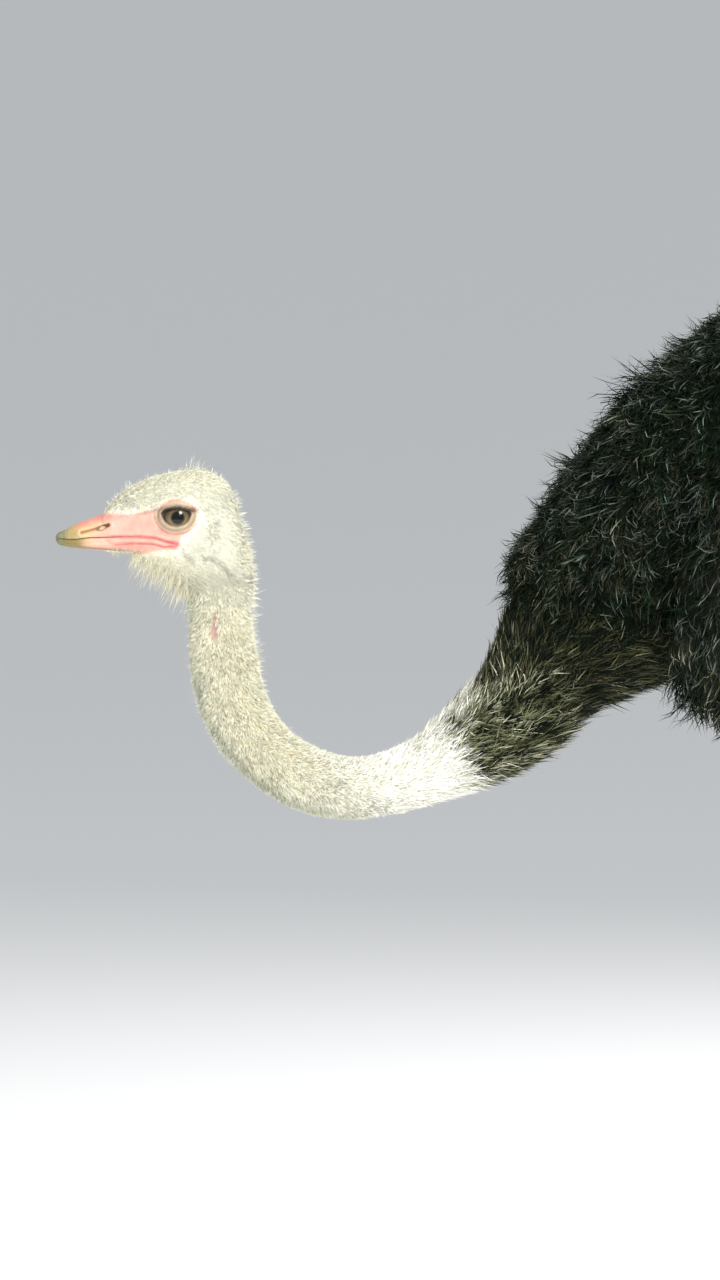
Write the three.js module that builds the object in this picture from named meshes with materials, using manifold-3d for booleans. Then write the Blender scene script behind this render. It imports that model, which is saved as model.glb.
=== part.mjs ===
// A life-size cock ostrich, standing still with its neck lowered in a U and its head level.
// Millimetres, +Z up. The bird faces -X and its left side is -Y. The origin is on the floor,
// under the middle of the bird's bounding box. The solids reach to the tips of the plumage.
import * as THREE from 'three';
import { mergeVertices } from 'three/addons/utils/BufferGeometryUtils.js';
import Module from 'manifold-3d';

const wasm = await Module();
wasm.setup();

// ---------------------------------------------------------------- driving dimensions
const GAP = 0.3;              // clearance between neighbouring solids
const EYE_HEIGHT = 1122;      // floor to the middle of the eye
const EYE_X = -653;           // the eye, fore and aft
const EYEBALL_RADIUS = 22;    // the eyeball, which is mostly hidden
const EYE_SPACING = 54;       // between the centres of the two eyeballs
const BILL_TIP_X = -784;
const BILL_BASE_X = -734;     // where the down begins
const MOUTH_HEIGHT = 1099;    // the line between the upper and the lower bill
const MOUTH_CORNER_X = -657;
const HIP_HEIGHT = 990;
const HOCK_HEIGHT = 506;
const TOE_JOINT_HEIGHT = 50;  // where the tarsus meets the toes
const FOOT_X = 240;           // the toe joint, fore and aft, of a leg with no stride
const LEG_SPREAD_TOP = 132;   // the legs' distance from the middle plane, at the hip
const LEG_SPREAD_FOOT = 118;  // and at the foot
const STRIDE = { left: -62, right: 72 };  // how far each foot stands fore (-) or aft (+)
const BIG_TOE_LENGTH = 168;
const SMALL_TOE_LENGTH = 104;
const CLAW_LENGTH = 52;

const SIDE_SIGN = { left: -1, right: 1 };
const X_AXIS = new THREE.Vector3(1, 0, 0);
const Y_AXIS = new THREE.Vector3(0, 1, 0);
const Z_AXIS = new THREE.Vector3(0, 0, 1);

// ---------------------------------------------------------------- solids from stations

// A station is [x, y, z, half width, height above the centre, depth below it].
// loft() sweeps a superellipse through the stations along a smooth curve, and closes both
// ends with a flat cap, or with a dome of the given length. A span takes only a share of the
// curve, and leaves half a gap at each end that the span has moved.
function loft({
  stations, rings = 12, sides = 20, lateral = Y_AXIS, up = null, facing = null,
  power = 2, domes = [0, 0], domeRings = 3, grow = 0, floor = -Infinity, span = [0, 1],
}) {
  const centres = new THREE.CatmullRomCurve3(
    stations.map((s) => new THREE.Vector3(s[0], s[1], s[2])), false, 'catmullrom');
  const sizes = new THREE.CatmullRomCurve3(
    stations.map((s) => new THREE.Vector3(s[3], s[4], s[5])), false, 'catmullrom');
  const vertices = [];

  const addRing = (t, shrink, shift) => {
    const along = facing ?? centres.getTangent(t);
    const u = (up ? up.clone().cross(along) : lateral.clone().addScaledVector(along, -lateral.dot(along)))
      .normalize();
    const v = along.clone().cross(u);
    const centre = centres.getPoint(t).addScaledVector(along, shift);
    const [w, above, below] = sizes.getPoint(t).toArray().map((s) => (s + grow) * shrink);
    for (let j = 0; j < sides; j++) {
      const angle = (2 * Math.PI * j) / sides;
      const c = Math.cos(angle);
      const s = Math.sin(angle);
      const across = w * Math.sign(c) * Math.abs(c) ** (2 / power);
      const height = (s > 0 ? above : below) * Math.sign(s) * Math.abs(s) ** (2 / power);
      const p = centre.clone().addScaledVector(u, across).addScaledVector(v, height);
      vertices.push(p.x, p.y, Math.max(p.z, floor));
    }
  };

  // A dome's rings shrink like the slices of a ball as they move out along the curve.
  const dome = (t, length, outward) => {
    const slices = [];
    for (let k = 1; k < domeRings; k++) {
      const angle = (k / domeRings) * (Math.PI / 2);
      slices.push([t, Math.cos(angle), outward * (length + grow) * Math.sin(angle)]);
    }
    return slices;
  };
  const [first, final] = span;
  const inset = [first > 0 ? GAP / 2 : 0, final < 1 ? -GAP / 2 : 0];
  const slices = [];
  if (domes[0]) slices.push(...dome(first, domes[0], -1).reverse());
  for (let i = 0; i < rings; i++) {
    const shift = i === 0 ? inset[0] : i === rings - 1 ? inset[1] : 0;
    slices.push([THREE.MathUtils.lerp(first, final, i / (rings - 1)), 1, shift]);
  }
  if (domes[1]) slices.push(...dome(final, domes[1], 1));
  slices.forEach((slice) => addRing(...slice));

  const pole = (t, shift) => {
    const p = centres.getPoint(t).addScaledVector(facing ?? centres.getTangent(t), shift);
    vertices.push(p.x, p.y, Math.max(p.z, floor));
  };
  pole(first, domes[0] ? -(domes[0] + grow) : inset[0]);
  pole(final, domes[1] ? domes[1] + grow : inset[1]);

  const faces = [];
  const last = slices.length - 1;
  const startPole = slices.length * sides;
  for (let j = 0; j < sides; j++) {
    const k = (j + 1) % sides;
    faces.push(startPole, k, j, startPole + 1, last * sides + j, last * sides + k);
    for (let i = 0; i < last; i++) {
      const [a, b] = [i * sides + j, i * sides + k];
      faces.push(a, b, a + sides, b, b + sides, a + sides);
    }
  }
  return solid(new THREE.BufferGeometry()
    .setAttribute('position', new THREE.Float32BufferAttribute(vertices, 3))
    .setIndex(faces));
}

function solid(geometry) {
  geometry.deleteAttribute('normal');
  geometry.deleteAttribute('uv');
  const merged = mergeVertices(geometry, 1e-3);
  return new wasm.Manifold(new wasm.Mesh({
    numProp: 3,
    vertProperties: merged.attributes.position.array,
    triVerts: new Uint32Array(merged.index.array),
  }));
}

function ball(radius, x, y, z, stretch = [1, 1, 1], columns = 12, rows = 7) {
  const geometry = new THREE.SphereGeometry(radius, columns, rows);
  geometry.scale(...stretch).translate(x, y, z);
  return solid(geometry);
}

// A cut can leave crumbs beside the piece that is wanted.
function largest(piece) {
  return piece.decompose().sort((a, b) => b.volume() - a.volume())[0];
}

function geometryOf(piece) {
  const mesh = piece.getMesh();
  const places = [];
  for (let i = 0; i < mesh.numVert; i++) {
    places.push(...mesh.vertProperties.slice(i * mesh.numProp, i * mesh.numProp + 3));
  }
  const geometry = new THREE.BufferGeometry()
    .setAttribute('position', new THREE.Float32BufferAttribute(places, 3))
    .setIndex(Array.from(mesh.triVerts));
  geometry.computeVertexNormals();
  return geometry;
}

// ---------------------------------------------------------------- materials

const finish = (color, roughness) =>
  new THREE.MeshStandardMaterial({ color, roughness, metalness: 0 });
const MATERIALS = {
  blackPlumage: finish(0x15130f, 0.8),
  whitePlumage: finish(0xe6dfcc, 0.85),
  tailPlumage: finish(0xcbb694, 0.85),
  down: finish(0xdedac6, 0.9),
  skin: finish(0xd2ab98, 0.65),
  bill: finish(0xd9978a, 0.5),
  eye: finish(0x2b1d12, 0.1),
  horn: finish(0x8b7c66, 0.45),
};

const ostrich = new THREE.Group();
ostrich.name = 'ostrich';

function add(name, piece, material) {
  const mesh = new THREE.Mesh(geometryOf(largest(piece)), material);
  mesh.name = name;
  ostrich.add(mesh);
}

// ---------------------------------------------------------------- trunk

// The body plumage, from the steep front of the back to the rump.
const TRUNK = [
  [-298, 0, 1066, 70, 58, 50],
  [-268, 0, 1076, 112, 80, 86],
  [-236, 0, 1088, 138, 116, 122],
  [-188, 0, 1102, 160, 154, 150],
  [-130, 0, 1118, 182, 194, 168],
  [-60, 0, 1128, 204, 243, 222],
  [20, 0, 1130, 222, 277, 268],
  [110, 0, 1130, 234, 298, 300],
  [200, 0, 1132, 236, 297, 304],
  [300, 0, 1132, 226, 274, 286],
  [390, 0, 1128, 204, 234, 242],
  [470, 0, 1124, 172, 182, 180],
  [540, 0, 1118, 128, 124, 110],
  [590, 0, 1110, 78, 66, 52],
];

const trunkShape = (grow = 0) => loft({
  stations: TRUNK, rings: 15, sides: 24, facing: X_AXIS, power: 2.15, domes: [14, 22], grow,
});
const trunkRoom = trunkShape(GAP);

// ---------------------------------------------------------------- head and neck

// The head with its down, from the foot of the bill to the back of the skull.
const HEAD = [
  [BILL_BASE_X, 0, 1104, 21, 21, 17],
  [-722, 0, 1104, 26, 35, 20],
  [-706, 0, 1103, 30.5, 49, 23],
  [-688, 0, 1103, 35, 58, 31],
  [-668, 0, 1105, 41, 63, 47],
  [-646, 0, 1108, 45, 64, 66],
  [-624, 0, 1106, 45, 66, 77],
  [-604, 0, 1100, 42, 62, 71],
  [-588, 0, 1092, 37, 54, 54],
];
const headShape = () => loft({
  stations: HEAD, rings: 12, sides: 20, facing: X_AXIS, power: 2.15, domes: [0, 19], domeRings: 4,
});

// The neck's centre line runs down from the head, forward round the U and back up to the
// breast. Its last stations lie inside the trunk.
const NECK = [
  [-608, 0, 1082, 34, 34, 34],
  [-607, 0, 1033, 36, 38, 38],
  [-606, 0, 990, 37, 39, 39.5],
  [-602, 0, 953, 37, 39.5, 40],
  [-592, 0, 916, 36.5, 39, 39.5],
  [-573, 0, 882, 35.5, 37, 37.5],
  [-547, 0, 855, 35, 35, 35],
  [-515, 0, 838, 35.5, 35.5, 36],
  [-480, 0, 831, 36, 36, 36.5],
  [-440, 0, 833, 38, 37, 37],
  [-392, 0, 848, 44, 42, 41],
  [-356, 0, 867, 52, 50, 50],
  [-324, 0, 888, 62, 58, 57],
  [-295, 0, 913, 73, 63, 63],
  [-270, 0, 943, 86, 74, 70],
  [-243, 0, 975, 102, 90, 85],
  [-205, 0, 1010, 118, 104, 99],
  [-150, 0, 1044, 128, 108, 108],
];

// The neck is parted across its centre line, at these stations.
const NECK_LENGTHS = { upper: [0, 4], bend: [4, 8], lower: [8, 12], base: [12, 17] };

function neckLength(name) {
  const span = NECK_LENGTHS[name].map((station) => station / (NECK.length - 1));
  return loft({ stations: NECK, span, rings: 8, sides: 18 });
}

// The head ends on a slanting plane from the throat to the nape.
const THROAT = new THREE.Vector3(-648, 0, 1026);
const NAPE = new THREE.Vector3(-570, 0, 1050);
const headward = NAPE.clone().sub(THROAT).cross(Y_AXIS).normalize();
if (headward.z < 0) headward.negate();
const headPlane = headward.dot(THROAT);
const eyeCentre = (side) => [EYE_X, SIDE_SIGN[side] * (EYE_SPACING / 2), EYE_HEIGHT];

// Two thin wedges, one each side, that the mouth runs back in.
function mouthSlit() {
  const slit = loft({
    stations: [
      [-745, 0, MOUTH_HEIGHT + 2, 60, 0.7, 0.7],
      [-700, 0, MOUTH_HEIGHT + 3.5, 60, 0.9, 0.9],
      [-678, 0, MOUTH_HEIGHT + 2, 60, 1.1, 1.1],
      [MOUTH_CORNER_X, 0, MOUTH_HEIGHT - 3, 60, 0.8, 0.8],
    ],
    rings: 6, sides: 4, facing: X_AXIS, power: 1.2,
  });
  const tongueRoom = new THREE.BoxGeometry(100, 40, 30).translate(-712, 0, MOUTH_HEIGHT);
  return slit.subtract(solid(tongueRoom));
}

// The ears are shallow pits, low behind the eyes.
const earPits = [-1, 1].map((s) => ball(6, -603, s * 43, 1094, [0.8, 0.7, 1.15], 8, 6));

function buildHeadAndNeck() {
  add('neck_base', neckLength('base').subtract(trunkRoom), MATERIALS.blackPlumage);
  add('neck_lower', neckLength('lower'), MATERIALS.down);
  add('neck_bend', neckLength('bend'), MATERIALS.down);

  const joined = headShape().add(neckLength('upper'));
  add('neck_upper',
    joined.trimByPlane(headward.clone().negate().toArray(), -headPlane + GAP / 2), MATERIALS.down);
  let head = joined.trimByPlane(headward.toArray(), headPlane + GAP / 2).subtract(mouthSlit());
  for (const side of ['left', 'right']) {
    head = head.subtract(ball(EYEBALL_RADIUS + GAP, ...eyeCentre(side)));
    add(`eye_${side}`, ball(EYEBALL_RADIUS, ...eyeCentre(side)), MATERIALS.eye);
  }
  for (const pit of earPits) head = head.subtract(pit);
  add('head', head, MATERIALS.down);
  buildBill();
}

// ---------------------------------------------------------------- bill

// The bill is flat and broad with a blunt tip. It is swept whole and parted along the mouth.
const BILL = [
  [BILL_TIP_X + 8, 0, MOUTH_HEIGHT, 8.5, 7.5, 8.5],
  [BILL_TIP_X + 16, 0, MOUTH_HEIGHT, 13.5, 12, 10.5],
  [BILL_TIP_X + 28, 0, MOUTH_HEIGHT, 17.5, 16.5, 11.5],
  [BILL_BASE_X - GAP, 0, MOUTH_HEIGHT, 21.5, 24.5, 13],
];
const nostrils = [-1, 1].map((s) => ball(8, -744, s * 18.5, MOUTH_HEIGHT + 10, [1, 0.35, 0.3], 8, 6));

function buildBill() {
  let bill = loft({
    stations: BILL, rings: 7, sides: 16, facing: X_AXIS, power: 2.3, domes: [8, 0], domeRings: 4,
  });
  for (const nostril of nostrils) bill = bill.subtract(nostril);
  add('bill_upper', bill.trimByPlane([0, 0, 1], MOUTH_HEIGHT + GAP), MATERIALS.bill);
  add('bill_lower', bill.trimByPlane([0, 0, -1], GAP - MOUTH_HEIGHT), MATERIALS.bill);
}

// ---------------------------------------------------------------- wings and tail

// The folded wing lies along the flank: its coverts bulge past the trunk, and its loose
// white plumes hang from the rear of the lower edge.
const WING = [
  [-116, 158, 1006, 40, 118, 92],
  [-70, 176, 1032, 62, 180, 150],
  [0, 190, 1044, 76, 226, 196],
  [90, 196, 1052, 82, 240, 232],
  [190, 196, 1058, 82, 234, 246],
  [290, 188, 1060, 78, 214, 232],
  [380, 172, 1058, 70, 180, 192],
  [460, 146, 1052, 58, 130, 138],
  [520, 120, 1046, 42, 78, 80],
];
const WING_PLUMES = [
  [120, 196, 868, 26, 60, 52],
  [200, 200, 866, 34, 84, 88],
  [300, 196, 870, 38, 100, 112],
  [400, 180, 884, 38, 104, 116],
  [490, 158, 906, 34, 98, 104],
  [560, 134, 934, 26, 76, 76],
];
const TAIL = [
  [500, 0, 1128, 96, 70, 78],
  [570, 0, 1110, 118, 88, 100],
  [640, 0, 1058, 122, 92, 104],
  [696, 0, 986, 112, 82, 92],
  [738, 0, 904, 86, 60, 66],
  [762, 0, 838, 50, 34, 36],
];

const mirrored = (stations, side) =>
  stations.map(([x, y, ...rest]) => [x, y * SIDE_SIGN[side], ...rest]);

const wingShape = (side, grow = 0) => loft({
  stations: mirrored(WING, side), rings: 9, sides: 16, facing: X_AXIS, domes: [18, 24], grow,
});
const wingPlumeShape = (side, grow = 0) => loft({
  stations: mirrored(WING_PLUMES, side), rings: 7, sides: 12, facing: X_AXIS, domes: [22, 24], grow,
});
const tailShape = (grow = 0) => loft({ stations: TAIL, rings: 8, sides: 16, domes: [0, 18], grow });

function buildPlumage() {
  add('trunk', trunkShape(), MATERIALS.blackPlumage);
  add('tail', tailShape().subtract(trunkRoom), MATERIALS.tailPlumage);
  for (const side of ['left', 'right']) {
    const wing = wingShape(side).subtract(trunkRoom);
    add(`wing_${side}`, wing, MATERIALS.blackPlumage);
    const plumes = wingPlumeShape(side).subtract(trunkRoom).subtract(wingShape(side, GAP));
    add(`wing_plumes_${side}`, plumes.subtract(tailShape(GAP)), MATERIALS.whitePlumage);
  }
}

// ---------------------------------------------------------------- legs

// Stations down the leg are [x, z, half width, depth behind, depth in front], for a leg
// whose foot has no stride: the drumstick, the hock and the tarsus.
const LEG = [
  [128, HIP_HEIGHT, 86, 112, 112],
  [154, 893, 84, 116, 118],
  [184, 808, 74, 104, 108],
  [218, 722, 58, 80, 84],
  [248, 647, 46, 58, 62],
  [272, 583, 36, 44, 45],
  [286, 540, 34, 41, 38],
  [292, HOCK_HEIGHT, 37, 43, 40],
  [288, 466, 31, 36, 34],
  [282, 424, 26, 28, 28],
  [272, 310, 23, 24, 25],
  [259, 190, 23.5, 24, 26],
  [247, 104, 28, 28, 30],
  [FOOT_X, 62, 33, 32, 36],
];
const LEG_CUT_HEIGHT = 545;   // the drumstick ends and the tarsus begins just above the hock

function legStation(side, [x, z, w, behind, before]) {
  const down = (HIP_HEIGHT - z) / (HIP_HEIGHT - TOE_JOINT_HEIGHT);
  const spread = THREE.MathUtils.lerp(LEG_SPREAD_TOP, LEG_SPREAD_FOOT, down);
  return [x + STRIDE[side] * down, SIDE_SIGN[side] * spread, z, w, behind, before];
}

// A toe runs forward from the toe joint on its flat sole, and turns out by an angle.
// Its stations are [share of the length, half width, height of the top].
const BIG_TOE = [[0, 33, 66], [0.22, 29, 58], [0.45, 25, 47], [0.7, 27, 43], [0.9, 24, 36], [1, 20, 30]];
const SMALL_TOE = [[0, 26, 56], [0.3, 21, 46], [0.6, 17, 36], [0.85, 18, 33], [1, 14, 26]];
const CLAW = [[0, 15, 25], [0.35, 14, 21], [0.7, 10, 15], [0.95, 5.5, 8]];
const BIG_TOE_ANGLE = 4;
const SMALL_TOE_ANGLE = 27;

function toe(side, profile, length, angleOut, start, { outward = 0, grow = 0, dome = 12, sole = 0, sides = 12 } = {}) {
  const angle = THREE.MathUtils.degToRad(angleOut);
  const ahead = new THREE.Vector3(-Math.cos(angle), SIDE_SIGN[side] * Math.sin(angle), 0);
  const joint = legStation(side, [FOOT_X, TOE_JOINT_HEIGHT, 0, 0, 0]);
  const origin = new THREE.Vector3(joint[0], joint[1] + SIDE_SIGN[side] * outward, 0);
  const stations = profile.map(([share, w, top]) => {
    const p = origin.clone().addScaledVector(ahead, start + share * length);
    return [p.x, p.y, sole + (top - sole) * 0.42, w, (top - sole) * 0.58, (top - sole) * 0.56];
  });
  return loft({
    stations, rings: 7, sides, up: Z_AXIS, power: 2.4, domes: [dome, dome], domeRings: 2, grow,
    floor: sole - grow,
  });
}

const legShape = (side) => loft({
  stations: LEG.map((s) => legStation(side, s)), rings: 18, sides: 14, power: 2.1,
});

function buildLeg(side) {
  const leg = legShape(side);
  const drumstick = leg.trimByPlane([0, 0, 1], LEG_CUT_HEIGHT + GAP)
    .subtract(trunkRoom).subtract(wingShape(side, GAP)).subtract(wingPlumeShape(side, GAP));
  add(`drumstick_${side}`, drumstick, MATERIALS.skin);

  const big = toe(side, BIG_TOE, BIG_TOE_LENGTH, BIG_TOE_ANGLE, 0);
  const bigRoom = toe(side, BIG_TOE, BIG_TOE_LENGTH, BIG_TOE_ANGLE, 0, { grow: GAP });
  const small = toe(side, SMALL_TOE, SMALL_TOE_LENGTH, SMALL_TOE_ANGLE, 0, { outward: 14 });
  const smallRoom = toe(side, SMALL_TOE, SMALL_TOE_LENGTH, SMALL_TOE_ANGLE, 0, { outward: 14, grow: GAP });
  const tarsus = leg.trimByPlane([0, 0, -1], -LEG_CUT_HEIGHT).subtract(bigRoom).subtract(smallRoom);
  add(`tarsus_${side}`, tarsus, MATERIALS.skin);
  add(`big_toe_${side}`, big, MATERIALS.skin);
  add(`small_toe_${side}`, small.subtract(bigRoom), MATERIALS.skin);

  const claw = toe(side, CLAW, CLAW_LENGTH, BIG_TOE_ANGLE, BIG_TOE_LENGTH - 6, { dome: 4, sole: 2, sides: 8 });
  add(`claw_${side}`, claw.subtract(bigRoom), MATERIALS.horn);
}

// ---------------------------------------------------------------- the whole bird

buildPlumage();
buildHeadAndNeck();
buildLeg('left');
buildLeg('right');

// Set the origin on the floor under the middle of the bounding box.
const bounds = new THREE.Box3().setFromObject(ostrich);
const middle = bounds.getCenter(new THREE.Vector3());
ostrich.position.set(-middle.x, -middle.y, -bounds.min.z);

export default ostrich;
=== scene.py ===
"""A life-size cock ostrich, standing still: one skin, a coat of solid feathers, eyes, bill and claws.

Sizes in the tables are millimetres in the part's drawing frame: +Z up, the floor at 0, the bird
faces -X and its left side is -Y. BACK_TO_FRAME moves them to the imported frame, which is centred.
"""
import math

import bmesh
import bpy
import numpy as np
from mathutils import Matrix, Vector
from mathutils.bvhtree import BVHTree


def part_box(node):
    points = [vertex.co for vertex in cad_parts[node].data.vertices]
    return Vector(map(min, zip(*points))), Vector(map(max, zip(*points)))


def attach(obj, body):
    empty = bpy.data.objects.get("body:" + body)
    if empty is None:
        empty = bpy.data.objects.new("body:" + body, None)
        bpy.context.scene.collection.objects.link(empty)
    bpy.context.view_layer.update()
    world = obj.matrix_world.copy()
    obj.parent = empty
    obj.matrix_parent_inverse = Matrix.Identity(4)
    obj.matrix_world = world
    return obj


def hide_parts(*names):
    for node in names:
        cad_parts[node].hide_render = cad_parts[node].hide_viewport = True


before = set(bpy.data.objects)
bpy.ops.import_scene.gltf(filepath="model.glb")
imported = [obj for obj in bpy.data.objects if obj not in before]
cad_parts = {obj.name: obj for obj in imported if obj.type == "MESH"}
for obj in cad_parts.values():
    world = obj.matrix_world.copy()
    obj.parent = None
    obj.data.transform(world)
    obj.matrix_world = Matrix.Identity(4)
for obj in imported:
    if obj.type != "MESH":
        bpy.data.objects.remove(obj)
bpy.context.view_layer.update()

rng = np.random.default_rng(7)
EYE = np.array([-653.0, 27.0, 1122.0])
EYEBALL_RADIUS = 22.0
eye_low, eye_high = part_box("eye_left")
BACK_TO_FRAME = np.array([1000 * (eye_low.x + eye_high.x) / 2 - EYE[0], 0.0, 0.0])

X_AXIS = np.array([1.0, 0.0, 0.0])
Y_AXIS = np.array([0.0, 1.0, 0.0])
Z_AXIS = np.array([0.0, 0.0, 1.0])


# ---------------- small maths

def smoothstep(x, low, high):
    t = np.clip((np.asarray(x, float) - low) / (high - low), 0, 1)
    return t * t * (3 - 2 * t)


def unit(v):
    return v / np.maximum(np.linalg.norm(v, axis=-1, keepdims=True), 1e-9)


def dot(a, b):
    return np.sum(a * b, axis=-1, keepdims=True)


def along_surface(direction, normal):
    return unit(direction - normal * dot(direction, normal))


def bump(x, middle, width):
    return np.exp(-((x - middle) / width) ** 2)


def noise(p, cell, seed=0):
    """Smooth noise from -1 to 1 at the points p, in cells of the given size."""
    q = np.asarray(p, float) / cell
    low = np.floor(q).astype(np.int64)
    f = q - low
    f = f * f * (3 - 2 * f)
    total = np.zeros(len(q))
    for corner in range(8):
        d = np.array([corner & 1, corner >> 1 & 1, corner >> 2 & 1])
        k = (low + d) @ np.array([374761393, 668265263, 1442695041]) + seed * 1013904223
        k = (k ^ (k >> 13)) * 1274126177
        value = ((k ^ (k >> 16)) & 0xFFFF) / 32767.5 - 1
        total += value * np.prod(np.where(d, f, 1 - f), axis=1)
    return total


def rgb(r, g, b):
    """A colour given as 0-255 screen values, as linear light."""
    c = np.array([r, g, b]) / 255
    return np.where(c < 0.04045, c / 12.92, ((c + 0.055) / 1.055) ** 2.4)


def mix(a, b, share):
    share = np.asarray(share, float)[..., None]
    return a * (1 - share) + b * share


def layered(colour, *layers):
    """A colour with others laid over it in turn. Each layer is a colour and its share."""
    for tone, share in layers:
        colour = mix(colour, tone, share)
    return colour


def columns(*values):
    """Arrays and single numbers side by side, as the columns of one array."""
    return np.stack(np.broadcast_arrays(*values), 1).astype(float)


def circle(count):
    return np.arange(count) * 2 * math.pi / count


def distance_to_line(x, z, line):
    """Distance in the side view from points to a polyline."""
    p = np.stack([x, z], 1)
    best = np.full(len(p), 1e9)
    for a, b in zip(np.array(line[:-1], float), np.array(line[1:], float)):
        share = np.clip((p - a) @ (b - a) / ((b - a) @ (b - a)), 0, 1)
        best = np.minimum(best, np.linalg.norm(p - a - share[:, None] * (b - a), axis=1))
    return best


def along_line(x, z, line, width):
    """1 on a polyline in the side view, and fading beside it."""
    return bump(distance_to_line(x, z, line), 0, width)


def spot(x, z, middle_x, middle_z, width, height):
    """1 at a place in the side view, and fading round it."""
    return np.exp(-((x - middle_x) / width) ** 2 - ((z - middle_z) / height) ** 2)


def inside_outline(x, z, outline):
    """Signed distance in the side view to a closed outline: positive inside it."""
    within = np.zeros(len(x), bool)
    for (ax, az), (bx, bz) in zip(outline, outline[1:] + outline[:1]):
        crosses = (az > z) != (bz > z)
        at = ax + (z - az) * (bx - ax) / (bz - az if bz != az else 1e-9)
        within ^= crosses & (x < at)
    distance = distance_to_line(x, z, outline + outline[:1])
    return np.where(within, distance, -distance)


# ---------------- forms swept through stations

def spline(points, t):
    """A smooth curve through the points, at t from 0 to 1."""
    p = np.asarray(points, float)
    p = np.vstack([2 * p[0] - p[1], p, 2 * p[-1] - p[-2]])
    x = np.clip(t, 0, 1) * (len(points) - 1)
    i = np.minimum(x.astype(int), len(points) - 2)
    f = (x - i)[:, None]
    a, b, c, d = p[i], p[i + 1], p[i + 2], p[i + 3]
    return 0.5 * (2 * b + (c - a) * f + (2 * a - 5 * b + 4 * c - d) * f ** 2
                  + (3 * b - a - 3 * c + d) * f ** 3)


LEAST_SIZE, DOME_RINGS = 2.5, 6


class Form:
    """A superellipse swept through stations [x, y, z, half width, above, below].

    t runs from 0 to 1 along it, and on to -1 and 2 over the domes at its two ends.
    """

    def __init__(self, name, stations, facing=None, up=None, power=2.0, domes=(0, 0), floor=None):
        self.name = name
        self.stations = np.array(stations, float)
        self.facing, self.up, self.power, self.domes, self.floor = facing, up, power, domes, floor

    def axis(self, t):
        if self.facing is not None:
            return np.tile(self.facing, (len(t), 1))
        path = self.stations[:, :3]
        low, high = np.clip(t - 1e-3, 0, 1), np.clip(t + 1e-3, 0, 1)
        return unit(spline(path, high) - spline(path, low))

    def points(self, t, angle, grow=0.0):
        t, angle = np.broadcast_arrays(np.asarray(t, float), np.asarray(angle, float))
        body = np.clip(t, 0, 1)
        out = t - body
        station = spline(self.stations, body)
        along = self.axis(body)
        if self.up is not None:
            across = unit(np.cross(np.tile(self.up, (len(t), 1)), along))
        else:
            across = unit(Y_AXIS - along * dot(along, Y_AXIS))
        upward = np.cross(along, across)
        size = np.maximum(station[:, 3:] + np.reshape(grow, (-1, 1)), LEAST_SIZE)
        size = size * np.cos(out * math.pi / 2)[:, None]
        c, s = np.cos(angle), np.sin(angle)
        wide = size[:, 0] * np.sign(c) * np.abs(c) ** (2 / self.power)
        high = np.where(s > 0, size[:, 1], size[:, 2]) * np.sign(s) * np.abs(s) ** (2 / self.power)
        reach = np.sin(out * math.pi / 2) * np.where(out < 0, self.domes[0], self.domes[1])
        p = station[:, :3] + along * reach[:, None] + across * wide[:, None] + upward * high[:, None]
        if self.floor is not None:
            p[:, 2] = np.maximum(p[:, 2], self.floor)
        return p

    def mesh(self, rings, sides, grow=None):
        """Points, triangles, and each triangle's t and angle."""
        t = np.linspace(0, 1, rings)
        if self.domes[0]:
            t = np.concatenate([np.linspace(-0.96, -0.12, DOME_RINGS), t])
        if self.domes[1]:
            t = np.concatenate([t, np.linspace(1.12, 1.96, DOME_RINGS)])
        angle = circle(sides)
        tt, aa = np.repeat(t, sides), np.tile(angle, len(t))
        grown = 0.0 if grow is None else grow(np.clip(tt, 0, 1))
        p = self.points(tt, aa, grown)
        ends = np.array([p[:sides].mean(0), p[-sides:].mean(0)])
        i, j = np.meshgrid(np.arange(len(t) - 1), np.arange(sides), indexing="ij")
        i, j = i.ravel(), j.ravel()
        a, b = i * sides + j, i * sides + (j + 1) % sides
        around = [np.stack([a, b, a + sides], 1), np.stack([b, b + sides, a + sides], 1)]
        j, k = np.arange(sides), (np.arange(sides) + 1) % sides
        base = (len(t) - 1) * sides
        caps = [columns(len(p), k, j), columns(len(p) + 1, base + j, base + k)]
        faces = np.concatenate([*around, *caps]).astype(int)
        place_t = np.concatenate([tt[a], tt[b], np.full(sides, t[0]), np.full(sides, t[-1])])
        place_a = np.concatenate([aa[a], aa[b], angle, angle])
        return np.vstack([p, ends]), faces, place_t, place_a


TRUNK = Form("trunk", [
    [-298, 0, 1066, 70, 58, 50],
    [-268, 0, 1076, 112, 80, 86],
    [-236, 0, 1088, 138, 116, 122],
    [-188, 0, 1102, 160, 154, 150],
    [-130, 0, 1118, 182, 194, 168],
    [-60, 0, 1128, 204, 243, 222],
    [20, 0, 1130, 222, 277, 268],
    [110, 0, 1130, 234, 298, 300],
    [200, 0, 1132, 236, 297, 304],
    [300, 0, 1132, 226, 274, 286],
    [390, 0, 1128, 204, 234, 242],
    [470, 0, 1124, 172, 182, 180],
    [540, 0, 1118, 128, 124, 110],
    [590, 0, 1110, 78, 66, 52],
], facing=X_AXIS, power=2.15, domes=(14, 22))
HEAD = Form("head", [
    [-734, 0, 1104, 21, 21, 17],
    [-722, 0, 1104, 26, 35, 20],
    [-706, 0, 1103, 30.5, 49, 23],
    [-688, 0, 1103, 35, 58, 31],
    [-668, 0, 1105, 41, 63, 47],
    [-646, 0, 1108, 45, 64, 66],
    [-624, 0, 1106, 45, 66, 77],
    [-604, 0, 1100, 42, 62, 71],
    [-588, 0, 1092, 37, 54, 54],
], facing=X_AXIS, power=2.15, domes=(0, 19))
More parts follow.
